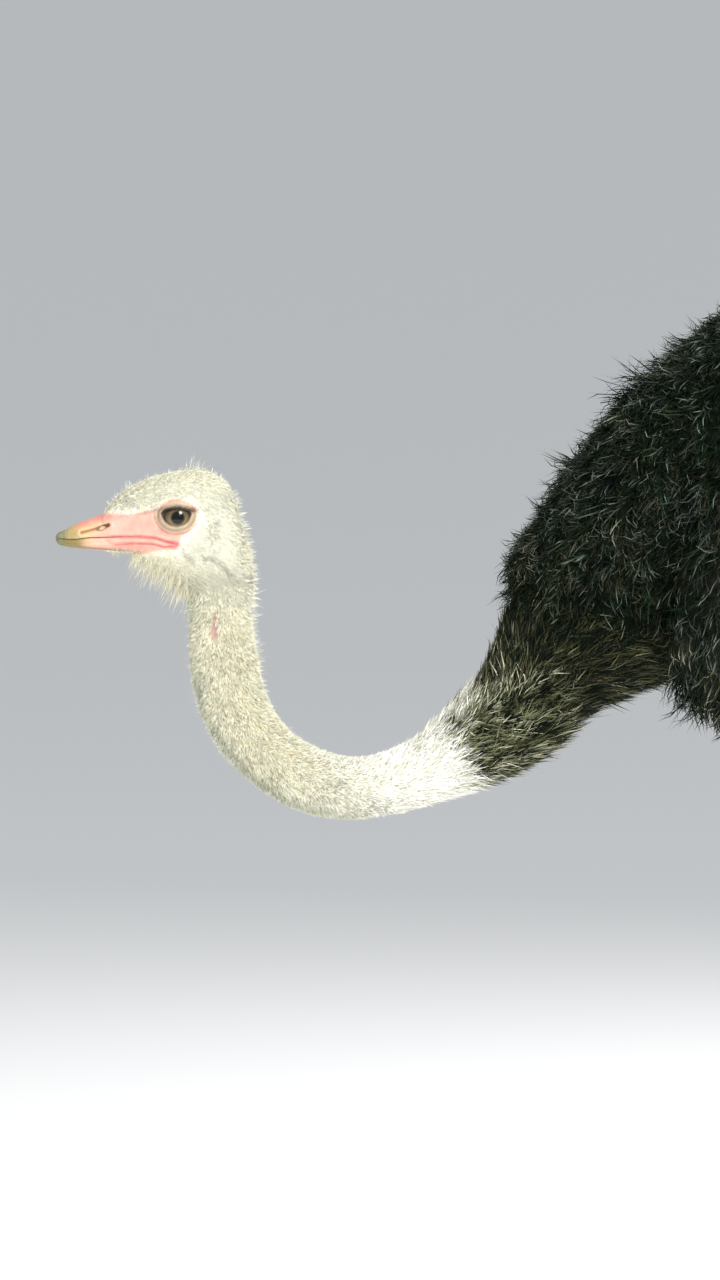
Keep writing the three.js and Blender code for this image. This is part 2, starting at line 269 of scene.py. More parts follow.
NECK = Form("neck", [
    [-608, 0, 1082, 34, 34, 34],
    [-607, 0, 1033, 36, 38, 38],
    [-606, 0, 990, 37, 39, 39.5],
    [-602, 0, 953, 37, 39.5, 40],
    [-592, 0, 916, 36.5, 39, 39.5],
    [-573, 0, 882, 35.5, 37, 37.5],
    [-547, 0, 855, 35, 35, 35],
    [-515, 0, 838, 35.5, 35.5, 36],
    [-480, 0, 831, 36, 36, 36.5],
    [-440, 0, 833, 38, 37, 37],
    [-392, 0, 848, 44, 42, 41],
    [-356, 0, 867, 52, 50, 50],
    [-324, 0, 888, 62, 58, 57],
    [-295, 0, 913, 73, 63, 63],
    [-270, 0, 943, 86, 74, 70],
    [-243, 0, 975, 102, 90, 85],
    [-205, 0, 1010, 118, 104, 99],
    [-150, 0, 1044, 128, 108, 108],
])


def mirrored(stations, side):
    return [[x, y * side, *rest] for x, y, *rest in stations]


WING_STATIONS = [
    [-116, 158, 1006, 40, 118, 92],
    [-70, 176, 1032, 62, 180, 150],
    [0, 190, 1044, 76, 226, 196],
    [90, 196, 1052, 82, 240, 232],
    [190, 196, 1058, 82, 234, 246],
    [290, 188, 1060, 78, 214, 232],
    [380, 172, 1058, 70, 180, 192],
    [460, 146, 1052, 58, 130, 138],
    [520, 120, 1046, 42, 78, 80],
]
TAIL = Form("tail", [
    [500, 0, 1128, 96, 70, 78],
    [570, 0, 1110, 118, 88, 100],
    [640, 0, 1058, 122, 92, 104],
    [696, 0, 986, 112, 82, 92],
    [738, 0, 904, 86, 60, 66],
    [762, 0, 838, 50, 34, 36],
], domes=(0, 18))

HIP_HEIGHT, TOE_JOINT_HEIGHT, FOOT_X = 990.0, 50.0, 240.0
LEG_SPREAD_TOP, LEG_SPREAD_FOOT = 132.0, 118.0
STRIDE = {-1: -62.0, 1: 72.0}
LEG_STATIONS = [
    [128, HIP_HEIGHT, 86, 112, 112],
    [154, 893, 84, 116, 118],
    [184, 808, 74, 104, 108],
    [218, 722, 58, 80, 84],
    [248, 647, 46, 58, 62],
    [272, 583, 36, 44, 45],
    [286, 540, 34, 41, 38],
    [292, 506, 37, 43, 40],
    [288, 466, 31, 36, 34],
    [282, 424, 26, 28, 28],
    [272, 310, 23, 24, 25],
    [259, 190, 23.5, 24, 26],
    [247, 104, 28, 28, 30],
    [FOOT_X, 62, 33, 32, 36],
]
BIG_TOE = [[0, 33, 66], [0.22, 29, 58], [0.45, 25, 47], [0.7, 27, 43], [0.9, 24, 36], [1, 20, 30]]
SMALL_TOE = [[0, 26, 56], [0.3, 21, 46], [0.6, 17, 36], [0.85, 18, 33], [1, 14, 26]]
CLAW = [[0, 14, 24], [0.35, 13.5, 21], [0.7, 10, 15], [0.95, 5, 8]]
BIG_TOE_LENGTH, SMALL_TOE_LENGTH, CLAW_LENGTH = 168.0, 104.0, 52.0
BIG_TOE_ANGLE, SMALL_TOE_ANGLE = 4.0, 27.0


def leg_station(side, x, z, *sizes):
    down = (HIP_HEIGHT - z) / (HIP_HEIGHT - TOE_JOINT_HEIGHT)
    spread = LEG_SPREAD_TOP + (LEG_SPREAD_FOOT - LEG_SPREAD_TOP) * down
    return [x + STRIDE[side] * down, side * spread, z, *sizes]


def toe_form(side, profile, length, turn_out, start=0.0, outward=0.0, dome=12, sole=0.0):
    angle = math.radians(turn_out)
    ahead = np.array([-math.cos(angle), side * math.sin(angle), 0])
    joint = np.array(leg_station(side, FOOT_X, TOE_JOINT_HEIGHT))
    origin = np.array([joint[0], joint[1] + side * outward, 0])
    stations = []
    for share, width, top in profile:
        p = origin + ahead * (start + share * length)
        rise = top - sole
        stations.append([p[0], p[1], sole + rise * 0.42, width, rise * 0.58, rise * 0.56])
    return Form("toe", stations, up=Z_AXIS, power=2.4, domes=(dome, dome), floor=sole)


SIDES = (-1, 1)
SIDE_NAME = {-1: "left", 1: "right"}
WINGS = {s: Form("wing", mirrored(WING_STATIONS, s), facing=X_AXIS, domes=(18, 24)) for s in SIDES}
LEGS = {s: Form("leg", [leg_station(s, *row) for row in LEG_STATIONS], power=2.1) for s in SIDES}
BIG_TOES = {s: toe_form(s, BIG_TOE, BIG_TOE_LENGTH, BIG_TOE_ANGLE) for s in SIDES}
SMALL_TOES = {s: toe_form(s, SMALL_TOE, SMALL_TOE_LENGTH, SMALL_TOE_ANGLE, outward=14) for s in SIDES}
CLAWS = {s: toe_form(s, CLAW, CLAW_LENGTH, BIG_TOE_ANGLE, start=BIG_TOE_LENGTH - 8, dome=4, sole=2)
         for s in SIDES}

BODY_COAT, WING_COAT, TAIL_COAT = 24.0, 22.0, 52.0   # how deep the skin lies under the plumage


def neck_coat(t):
    return 5.5 + 6.5 * smoothstep(t, 0.5, 0.66) + 16 * smoothstep(t, 0.66, 0.95)


def head_coat(t):
    return 0.6 + 1.8 * smoothstep(t, 0.3, 0.75)


# ---------------- making objects

def mesh_object(name, points, faces):
    """A mesh object from points in millimetres of the drawing frame, and triangles or quads."""
    mesh = bpy.data.meshes.new(name)
    points = (np.asarray(points, float) + BACK_TO_FRAME) * 0.001
    faces = np.asarray(faces)
    mesh.vertices.add(len(points))
    mesh.vertices.foreach_set("co", points.astype(np.float32).ravel())
    mesh.loops.add(faces.size)
    mesh.loops.foreach_set("vertex_index", faces.astype(np.int32).ravel())
    mesh.polygons.add(len(faces))
    mesh.polygons.foreach_set("loop_start", np.arange(len(faces), dtype=np.int32) * faces.shape[1])
    mesh.polygons.foreach_set("use_smooth", np.ones(len(faces), bool))
    mesh.update(calc_edges=True)
    mesh.validate()
    obj = bpy.data.objects.new(name, mesh)
    bpy.context.scene.collection.objects.link(obj)
    return obj


def paint(obj, colours):
    """Linear colours, one for each vertex, for the material to read."""
    layer = obj.data.color_attributes.new("Col", "FLOAT_COLOR", "POINT")
    data = np.ones((len(obj.data.vertices), 4), np.float32)
    data[:, :3] = np.clip(colours, 0, 1)
    layer.data.foreach_set("color", data.ravel())


def read(items, attribute, width, kind=np.float32):
    values = np.empty(len(items) * width, kind)
    items.foreach_get(attribute, values)
    return values.reshape(-1, width)


def points_of(obj):
    return read(obj.data.vertices, "co", 3).astype(float) * 1000 - BACK_TO_FRAME


def set_points(obj, points):
    co = ((points + BACK_TO_FRAME) * 0.001).astype(np.float32)
    obj.data.vertices.foreach_set("co", co.ravel())
    obj.data.update()


def normals_of(obj):
    return read(obj.data.vertex_normals, "vector", 3).astype(float)


def finish_piece(obj, surface, slot, *nodes):
    obj.data.materials.append(surface)
    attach(obj, "root")
    if nodes:
        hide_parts(*nodes)


def piece(name, points, faces, colours, surface, slot, *nodes):
    obj = mesh_object(name, points, faces)
    paint(obj, colours)
    finish_piece(obj, surface, slot, *nodes)


def joined(parts):
    """Several (points, faces, t, angle) as one, with the number of the part of each face."""
    points, faces, t, angle = zip(*parts)
    starts = np.cumsum([0] + [len(p) for p in points])
    faces = [f + start for f, start in zip(faces, starts)]
    owner = np.repeat(np.arange(len(parts)), [len(f) for f in faces])
    return np.vstack(points), np.vstack(faces), np.concatenate(t), np.concatenate(angle), owner


# ---------------- materials

def material(name, roughness, bump_scale=0.0, bump_depth=0.0, tint=0.12, tint_scale=60.0, cells=False,
             coat=0.0, specular=0.5, subsurface=0.0, sheen=0.0, rough_spread=0.08):
    """A surface that reads the painted colours, varied by noise, with fine relief from nodes."""
    m = bpy.data.materials.new(name)
    m.use_nodes = True
    link = m.node_tree.links.new
    shader = m.node_tree.nodes["Principled BSDF"]

    def node(kind, **values):
        made = m.node_tree.nodes.new("ShaderNode" + kind)
        for key, value in values.items():
            made.inputs[key.replace("_", " ")].default_value = value
        return made

    for key, value in {
            "Coat Weight": coat, "Coat Roughness": 0.06, "Specular IOR Level": specular,
            "Subsurface Weight": subsurface, "Subsurface Scale": 0.004, "Sheen Weight": sheen,
            "Sheen Roughness": 0.4}.items():
        shader.inputs[key].default_value = value
    where = node("TexCoord")
    speckle = node("TexNoise", Scale=tint_scale, Detail=4)
    link(where.outputs["Object"], speckle.inputs["Vector"])
    painted = node("VertexColor")
    painted.layer_name = "Col"
    shades = node("MapRange", From_Min=0.3, From_Max=0.7, To_Min=1 - tint, To_Max=1 + tint)
    link(speckle.outputs["Fac"], shades.inputs["Value"])
    tinted = node("VectorMath")
    tinted.operation = "SCALE"
    link(painted.outputs["Color"], tinted.inputs[0])
    link(shades.outputs["Result"], tinted.inputs["Scale"])
    link(tinted.outputs["Vector"], shader.inputs["Base Color"])
    rough = node("MapRange", To_Min=roughness - rough_spread, To_Max=roughness + rough_spread)
    link(speckle.outputs["Fac"], rough.inputs["Value"])
    link(rough.outputs["Result"], shader.inputs["Roughness"])
    if bump_depth:
        relief = node("Bump", Distance=bump_depth, Strength=0.8)
        if cells:
            grain = node("TexVoronoi", Scale=bump_scale)
            grain.feature = "DISTANCE_TO_EDGE"
        else:
            grain = node("TexNoise", Scale=bump_scale, Detail=5)
        link(where.outputs["Object"], grain.inputs["Vector"])
        link(grain.outputs["Distance" if cells else "Fac"], relief.inputs["Height"])
        link(relief.outputs["Normal"], shader.inputs["Normal"])
    return m


SKIN_MATERIAL = material("skin", 0.52, 420, 0.0011, tint=0.1, tint_scale=90, cells=True, subsurface=0.12)
DOWN_MATERIAL = material("down", 0.75, tint=0.05, tint_scale=120, specular=0.12, sheen=0.06)
BLACK_MATERIAL = material("black_feathers", 0.5, tint=0.25, tint_scale=40, specular=0.06)
PLUME_MATERIAL = material("plumes", 0.7, tint=0.06, tint_scale=50, specular=0.3, sheen=0.1)
BILL_MATERIAL = material("bill", 0.38, 160, 0.0006, tint=0.08, tint_scale=130, coat=0.15, subsurface=0.1)
EYE_MATERIAL = material("eye", 0.12, tint=0.1, tint_scale=500, coat=0.55, specular=0.12, rough_spread=0.02)
HORN_MATERIAL = material("horn", 0.45, 90, 0.0009, tint=0.2, tint_scale=140)
SCUTE_MATERIAL = material("scutes", 0.45, 260, 0.0005, tint=0.12, tint_scale=110, coat=0.08)


# ---------------- landmarks of the face, seen from the side

# Each is a line of [x, z].
MOUTH = [[-760, 1099], [-747, 1100.6], [-721, 1101.7], [-694, 1102.1], [-677, 1101], [-666, 1097.6],
         [-654, 1095]]
GAPE_FOLD = [[-740, 1092.5], [-721, 1093], [-699, 1095.1], [-681, 1094.6], [-666, 1091.6], [-655, 1093]]
BARE_FACE = [
    [-741, 1125.6], [-724, 1125.6], [-706, 1126], [-692, 1128.3], [-679, 1131.8], [-671, 1136.5],
    [-662, 1141.4], [-651, 1142.8], [-639, 1139.6], [-632.5, 1133], [-632, 1123], [-634.5, 1114.5],
    [-641.5, 1107], [-648.5, 1103.2], [-650, 1098], [-650, 1093.2], [-655, 1089], [-672.5, 1087.6],
    [-686, 1084.4], [-700, 1081.6], [-714, 1081.8], [-728, 1083], [-747, 1084], [-756, 1107],
]
BROW = [[-685, 1131], [-672.5, 1137.5], [-655, 1141], [-638, 1139], [-628, 1133]]
EYE_ARC = [[-668, 1137], [-660, 1140.2], [-651, 1141.2], [-640, 1138.8], [-634.5, 1134.5]]
EYE_CORNERS = [[-694, 1127], [-682, 1130], [-671, 1132.4], [-654, 1136], [-637, 1132.6], [-625, 1132.4]]
JAW_EDGE = [[-758, 1089.2], [-733, 1088], [-719, 1086.4], [-705, 1084.6], [-690, 1082]]
CHEEK_CREASE = [[-614, 1120], [-614.7, 1107], [-614, 1090]]
GAPE_CREASE = [[-651, 1092], [-648, 1085], [-641, 1077]]
JAW_CREASE = [[-630, 1080], [-615, 1078.5], [-606, 1072], [-598, 1063]]
NOSTRIL = [[-756, 1105.8], [-746, 1108.4], [-737, 1111.2], [-727, 1114.4]]
BARE_PATCH = [
    [-616, 990], [-620, 998], [-618.5, 1006], [-615.2, 1011], [-615.8, 1018], [-614.4, 1026], [-612, 1027],
    [-610.5, 1018], [-611.8, 1009], [-609.5, 1004], [-609, 996], [-611.5, 990],
]
OPENING_X, OPENING_HALF_WIDTH = -654.0, 15.4
OPENING_LINE, OPENING_UP, OPENING_DOWN = 1126.2, 7.4, 11.9
EAR = np.array([-603.0, 1094.0])
CHEEK_SIDE = 15.0   # skin further than this from the middle plane takes part in the lids


def opening_outline(count=40):
    """The gap between the lids: nearly straight above, round below."""
    outline = []
    for angle in circle(count):
        c, s = math.cos(angle), math.sin(angle)
        rise = OPENING_UP * abs(s) ** 0.8 if s > 0 else -OPENING_DOWN * abs(s)
        outline.append([OPENING_X + OPENING_HALF_WIDTH * c, OPENING_LINE + rise])
    return outline


OPENING = opening_outline()

# How far the back of the head is pulled in at each height.
HEAD_BACK = np.array([
    [1040, 1], [1050, 2], [1058, 0], [1066, -3], [1074, -6], [1082, -8], [1092, -11], [1102, -13],
    [1112, -15], [1122, -16], [1132, -15], [1142, -9], [1150, -3], [1158, 0],
], float)


def ball_height(x, z, radius=EYEBALL_RADIUS):
    """How far out the eyeball's surface lies at a place in the side view, from the middle plane."""
    away = (x - EYE[0]) ** 2 + (z - EYE[2]) ** 2
    return EYE[1] + np.sqrt(np.maximum(radius ** 2 - away, 0))


def nostril_relief(x, z):
    """The slot of a nostril and the swelling round it."""
    distance = distance_to_line(x, z, NOSTRIL)
    return -2.6 * bump(distance, 0, 1.5) + 0.8 * bump(distance, 3.6, 1.6)


def nostril_colours(colour, x, z):
    """A slot painted dark as shade inside the opening, which opens, toward its rear end, on a pale inner
    fold ringed with painted shade, with a yellowish rim.
    """
    distance = distance_to_line(x, z, NOSTRIL)
    rear = smoothstep(x, -744, -736)
    fold = np.hypot((x + 733.6) / 4.6, (z - 1110.9 - 0.3 * (x + 733.6)) / 1.9)
    return layered(
        colour,
        (rgb(204, 184, 132), 0.7 * bump(distance, 3.4, 1.4) * smoothstep(x, -724, -730)),
        # Painted shade: the slot, the ring round the inner fold and the rear of the opening are dark.
        (rgb(138, 98, 70), 0.85 * smoothstep(distance, 1.6 + 0.8 * rear, 0.6 + 0.8 * rear)),
        (rgb(110, 84, 58), 0.85 * bump(fold, 1.1, 0.34)),
        (rgb(216, 192, 160), 0.85 * smoothstep(fold, 0.9, 0.5)),
        (rgb(76, 54, 42), 0.9 * spot(x, z, -727.6, 1113.2, 1.6, 1.3)))


def sculpt_head(p):
    """Moves the skin's points in and out sideways: lids, brow, lores, mouth, cheek, ear."""
    x, y, z = p[:, 0], np.abs(p[:, 1]), p[:, 2]
    near = (x < -560) & (x > -745) & (z > 1030)
    x, y, z = x[near], y[near], z[near]
    add = 2.4 * along_line(x, z, BROW, 4.5)
    add -= 1.6 * spot(x, z, -697, 1113, 15, 8)
    add += 2.6 * spot(x, z, -604, 1102, 10, 20)
    for crease, depth, width in ((CHEEK_CREASE, 1.9, 2.6), (GAPE_CREASE, 1.8, 3.0), (JAW_CREASE, 1.6, 3.0)):
        add -= depth * along_line(x, z, crease, width)
    add += nostril_relief(x, z)
    for groove, lip_at, lip, lip_width, depth, width in (
            (MOUTH, 3.2, 1.0, 1.8, 2.6, 1.05), (GAPE_FOLD, 2.6, 0.9, 1.6, 1.5, 0.9)):
        d = distance_to_line(x, z, groove)
        add -= depth * bump(d, 0, width)
        add += lip * bump(d, lip_at, lip_width) * ((x < -650) | (groove is MOUTH))
    add -= 2.5 * np.exp(-(((x - EAR[0]) ** 2 + ((z - EAR[1]) / 1.5) ** 2) / 3.0 ** 2))
    y = y + add * smoothstep(y, 6, 20)

    # The lids wrap the eyeball, with rings of folds round them, and open over its front.
    inside = inside_outline(x, z, OPENING)
    away = -inside
    ball = ball_height(x, z)
    lid = ball_height(x, z, EYEBALL_RADIUS + 2.0)
    wrap = smoothstep(away, 12, 4) * (y > CHEEK_SIDE)
    y = y * (1 - wrap) + np.maximum(y, lid) * wrap
    below = smoothstep(1134 - z, 0, 10)
    rings = 0.7 * bump(away, 2.2, 1.2) - 0.8 * bump(away, 4.4, 1.0)
    rings += (0.6 * bump(away, 6.6, 1.2) - 0.7 * bump(away, 8.9, 1.0)) * (0.35 + 0.65 * below)
    y = y + rings * smoothstep(y, CHEEK_SIDE, CHEEK_SIDE + 10)
    rim = (inside > -0.4) & (y > CHEEK_SIDE)
    y = np.where(rim, ball + 0.9 - 4.5 * smoothstep(inside, -0.2, 1.3), y)

    out = p.copy()
    out[near, 1] = np.where(p[near, 1] < 0, -y, y)
    out[near, 0] += np.interp(z, HEAD_BACK[:, 0], HEAD_BACK[:, 1]) * smoothstep(x, -628, -592)
    out[near, 2] += 4.5 * bump(x, -702, 14) * smoothstep(z, 1094, 1082)
    return out


# ---------------- the skin

VOXEL = 0.008
SNAP = 6.0   # points of the merged skin that lie this near the swept forms move onto them


def subdivide(obj, chosen):
    """Splits the faces whose centre, in millimetres, is chosen."""
    bm = bmesh.new()
    bm.from_mesh(obj.data)
    centres = np.array([f.calc_center_median() for f in bm.faces]) * 1000 - BACK_TO_FRAME
    keep = chosen(centres)
    edges = list({e for f, k in zip(bm.faces, keep) if k for e in f.edges})
    bmesh.ops.subdivide_edges(bm, edges=edges, cuts=1, use_grid_fill=True)
    bm.to_mesh(obj.data)
    bm.free()
    obj.data.update()


def smoothed(points, edges, rounds, weight):
    count = len(points)
    degree = np.bincount(edges.ravel(), minlength=count)[:, None]
    for _ in range(rounds):
        total = np.stack([
            np.bincount(edges[:, 0], points[edges[:, 1], k], count)
            + np.bincount(edges[:, 1], points[edges[:, 0], k], count) for k in range(3)], 1)
        points = points + weight[:, None] * (total / degree - points)
    return points


PARTS = [HEAD, NECK, TRUNK, WINGS[-1], WINGS[1], TAIL, LEGS[-1], LEGS[1],
         BIG_TOES[-1], BIG_TOES[1], SMALL_TOES[-1], SMALL_TOES[1]]
HEAD_PART, NECK_PART, TRUNK_PART, WING_PARTS, TAIL_PART = 0, 1, 2, (3, 4), 5
GROWN = {"head": lambda t: -head_coat(t), "neck": lambda t: -neck_coat(t), "trunk": lambda t: -BODY_COAT,
         "wing": lambda t: -WING_COAT, "tail": lambda t: -TAIL_COAT}
LEG_PARTS = 6   # the number of the first part that belongs to a leg
# Rings along each form and points round it.
FINENESS = {"head": (48, 64), "neck": (150, 56), "trunk": (48, 72), "wing": (40, 56), "tail": (30, 36),
            "leg": (110, 36), "toe": (24, 30)}
# The trunk and the wings are shortened toward a middle x, to leave room for the coat. The other
# numbers are half the length and how much of it goes.
SHORTENED = {TRUNK_PART: (150, 462, 19), **dict.fromkeys(WING_PARTS, (205, 330, 8))}

swept = [form.mesh(*FINENESS[form.name], GROWN.get(form.name)) for form in PARTS]
for number, (middle, half_length, depth) in SHORTENED.items():
    along = swept[number][0][:, 0]
    along[:] = middle + (along - middle) * (1 - depth / half_length)
source_points, source_faces, source_t, source_angle, source_part = joined(swept)
source_tree = BVHTree.FromPolygons(source_points.tolist(), source_faces.tolist())


def nearest_source(points):
    """For each point: the nearest place on the swept forms, and its part, t and angle."""
    places = np.empty((len(points), 3))
    index = np.empty(len(points), int)
    for i, p in enumerate(points.tolist()):
        places[i], _, index[i], _ = source_tree.find_nearest(p)
    return places, source_part[index], source_t[index], source_angle[index]


def is_leg(c):
    return (c[:, 2] < 545) & (c[:, 0] > -60)


def is_head(c):
    return (c[:, 0] < -560) & (c[:, 2] > 1030)


def beside_bill(x_high, middle_z, reach):
    """Chooses what is ahead of x_high, near a height, and off the middle plane."""
    return lambda c: (c[:, 0] < x_high) & (np.abs(c[:, 2] - middle_z) < reach) & (np.abs(c[:, 1]) > 8)


def make_skin():
    raw = mesh_object("skin_source", source_points, source_faces)
    shape = raw.modifiers.new("merge", "REMESH")
    shape.mode = "VOXEL"
    shape.voxel_size = VOXEL
    evaluated = raw.evaluated_get(bpy.context.evaluated_depsgraph_get())
    mesh = bpy.data.meshes.new_from_object(evaluated)
    mesh.name = "skin"
    bpy.data.objects.remove(raw)
    skin = bpy.data.objects.new("skin", mesh)
    bpy.context.scene.collection.objects.link(skin)
    for finer in (is_leg, is_head, is_head, beside_bill(-622, 1112, 36), beside_bill(-712, 1107, 14)):
        subdivide(skin, finer)

    p = points_of(skin)
    places, part, _, _ = nearest_source(p)
    p = np.where(np.linalg.norm(places - p, axis=1)[:, None] < SNAP, places, p)
    edges = read(skin.data.edges, "vertices", 2, np.int32)
    head, leg = is_head(p), part >= LEG_PARTS
    p = smoothed(p, edges, 6, np.where(leg, 0.25, 0.6))
    p = smoothed(p, edges, 14, 0.6 * smoothstep(p[:, 0], -726, -700) * head)
    behind = smoothstep(p[:, 0], -650, -610) * (p[:, 0] < -540) * bump(p[:, 2], 1052, 34)
    p = smoothed(p, edges, 60, 0.7 * behind)
    p = sculpt_head(p)
    _, part, t, angle = nearest_source(p)
    set_points(skin, p)
    inner = (part == NECK_PART) * smoothstep(np.sin(angle), 0.0, 0.7)
    p = p + normals_of(skin) * (5.5 * inner * bump(t, 0.37, 0.09))[:, None]
    set_points(skin, p)
    skin.data.polygons.foreach_set("use_smooth", np.ones(len(skin.data.polygons), bool))
    return skin


skin = make_skin()
skin_points, skin_normals = points_of(skin), normals_of(skin)
_, skin_part, skin_t, _ = nearest_source(skin_points)

# ---------------- markings

CREAM, COLLAR_WHITE, CHEEK_WHITE = rgb(235, 233, 212), rgb(250, 249, 236), rgb(221, 220, 205)
BLACK, BROWN, ASH, STREAK = rgb(8, 21, 9), rgb(80, 78, 53), rgb(130, 135, 102), rgb(206, 205, 180)
BLACK_SKIN = rgb(8, 12, 8)
DOWN_SKIN, FACE_PINK, DEEP_PINK = rgb(196, 184, 150), rgb(234, 176, 158), rgb(218, 119, 120)
# LID_PALE is the lids' pale skin, made darker partly as painted shade round the eye.
LID_PALE, GREY_PINK, PATCH_PINK = rgb(196, 180, 152), rgb(158, 126, 108), rgb(160, 116, 126)
# A dark brown painted as shade along the lower edge of the jaw and the bill, and under the jaw.
JAW_SHADE = rgb(122, 90, 62)
LEG_SKIN, LEG_DARK, SCUTE = rgb(198, 160, 146), rgb(150, 122, 112), rgb(214, 152, 134)
HORN, HORN_DARK = rgb(128, 112, 92), rgb(72, 62, 54)


def black_share(p):
    """0 where the neck is white, 1 where the plumage is black. The border is ragged."""
    x, z = p[:, 0], p[:, 2]
    border = -362 + 0.1 * (z - 872) + 0.75 * np.maximum(872 - z, 0)
    ragged = 15 * noise(p, 24, 3) + 10 * noise(p, 8, 4)
    return smoothstep(x - border + ragged, -12, 14)


def skin_colours(p, part):
    x, y, z = p.T
    head = is_head(p)
    body = np.isin(part, (TRUNK_PART, *WING_PARTS))
    patch = smoothstep(inside_outline(x, z, BARE_PATCH), -1.5, 0.8) * (y < 0) * (z > 900) * (x < -560)
    colour = layered(
        DOWN_SKIN,
        (BLACK_SKIN, np.maximum(black_share(p) * (part == NECK_PART) * (x > -420), body)),
        (CREAM * 0.6, part == TAIL_PART),
        (rgb(242, 238, 218), 0.9 * smoothstep(z, 1040, 1080) * head),
        (mix(LEG_SKIN, LEG_DARK, 0.55 * (0.5 + 0.5 * noise(p, 14, 8))), part >= LEG_PARTS),
        (PATCH_PINK, 0.8 * patch))

    fx, fz = x[head], z[head]
    away = -inside_outline(fx, fz, OPENING)
    over_eye = smoothstep(fz, 1132, 1135) * smoothstep(fx, -676, -668)
    under_eye = smoothstep(1134 - fz, -2, 3)
    toward_corner = smoothstep(fx, -735, -690)
    # Painted shade under the jaw, toward the bill.
    under_jaw_shade = 0.5 * smoothstep(1083 - fz, 0, 2) * (fx < -695)
    face = layered(
        mix(FACE_PINK, DEEP_PINK, 0.16 + 0.16 * noise(p[head], 6, 5)),
        (DEEP_PINK, 0.42 * along_line(fx, fz, BARE_FACE[:3], 3.4)),
        (LID_PALE * 0.94, 0.85 * over_eye),
        (mix(FACE_PINK, DEEP_PINK, 0.15), 0.85 * over_eye * along_line(fx, fz, EYE_ARC, 1.6)),
        (DEEP_PINK, (0.16 + 0.42 * toward_corner) * along_line(fx, fz, MOUTH, 2.3)),
        (DEEP_PINK * 0.85, 0.5 * along_line(fx, fz, MOUTH, 0.8)),
        (DEEP_PINK, (0.2 + 0.6 * toward_corner) * along_line(fx, fz, GAPE_FOLD, 1.7)),
        (DEEP_PINK, 0.6 * smoothstep(np.hypot(fx + 656, fz - 1094), 9, 3)),
        # The lids' pale skin under the eye and round the opening, darker partly as painted shade.
        (LID_PALE, 0.9 * smoothstep(away, 10, 5) * under_eye),
        (LID_PALE * 0.84, smoothstep(away, 4.4, 2.6)),
        # Painted shade along the lower edge of the jaw and under it.
        (JAW_SHADE, np.maximum(0.8 * along_line(fx, fz, JAW_EDGE, 2.2), under_jaw_shade)),
        (GREY_PINK * 0.9, 0.8 * bump(away, 4.7, 1.0) * under_eye),
        (GREY_PINK, 0.5 * bump(away, 8.4, 1.1) * smoothstep(1126 - fz, -2, 3)))
    face = layered(
        nostril_colours(face, fx, fz),
        (rgb(92, 70, 58), 0.85 * smoothstep(away, 0.9, 0.1)),
        # Painted shade along the creases that run from the corners of the eye.
        (GREY_PINK * 0.75, 0.6 * smoothstep(away, 0, 3) * along_line(fx, fz, EYE_CORNERS, 2.2)),
        (rgb(96, 76, 66), 0.75 * smoothstep(away, 3.0, 0.8) * smoothstep(fz, 1130, 1132.5)))
    colour[head] = mix(colour[head], face, smoothstep(inside_outline(fx, fz, BARE_FACE), -3.5, 2.5))
    ear = np.hypot(x - EAR[0], (z - EAR[1]) / 1.5)
    return mix(colour, rgb(160, 130, 110), 0.4 * smoothstep(ear, 4, 2) * head)


paint(skin, skin_colours(skin_points, skin_part))
skin.data.materials.append(SKIN_MATERIAL)
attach(skin, "root")
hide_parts("head", "neck_upper", "neck_bend", "neck_lower", "neck_base", "trunk",
            *[f"{part}_{SIDE_NAME[s]}" for part in ("wing", "drumstick", "tarsus", "big_toe", "small_toe")
              for s in SIDES])


# ---------------- strands: the stuff of the coat

PATCH = 0.003   # the size of a tuft's patch in the map that its colours are kept in


def strands(roots, normals, lie, length, width, rise, fall, sway, steps, roll=0.0, droop=0.0):
    """Tapering blades that leave the skin at the angle rise and end at the angle fall.

    lie is the way the coat points. sway turns the tip sideways and droop lets it hang.
    Returns points of shape (strands, 2 * steps + 1, 3).
    """
    count = len(roots)
    length, width, rise, fall, sway, roll, droop = (
        np.broadcast_to(np.asarray(v, float), count)[:, None]
        for v in (length, width, rise, fall, sway, roll, droop))
    beside = np.cross(normals, lie)
    p = roots
    rows = []
    for k in range(steps):
        s = (k + 0.5) / steps
        lift = rise + (fall - rise) * s
        turn = sway * s ** 1.25
        d = np.cos(lift) * (np.cos(turn) * lie + np.sin(turn) * beside) + np.sin(lift) * normals
        d = unit(d - droop * s * Z_AXIS)
        across = unit(np.cross(d, normals + 0.3 * beside))
        across = np.cos(roll) * across + np.sin(roll) * np.cross(d, across)
        share = k / steps
        half = 0.5 * width * (0.6 + 1.6 * share * (1 - share) if steps > 1 else 1.0)
        rows += [p - across * half, p + across * half]
        p = p + d * length / steps
    return np.stack([*rows, p], axis=1)


def strand_faces(count, steps):
    pattern = []
    for k in range(steps - 1):
        pattern += [[2 * k, 2 * k + 1, 2 * k + 2], [2 * k + 1, 2 * k + 3, 2 * k + 2]]
    pattern.append([2 * steps - 2, 2 * steps - 1, 2 * steps])
    start = np.arange(count)[:, None, None] * (2 * steps + 1)
    return (np.array(pattern)[None] + start).reshape(-1, 3)


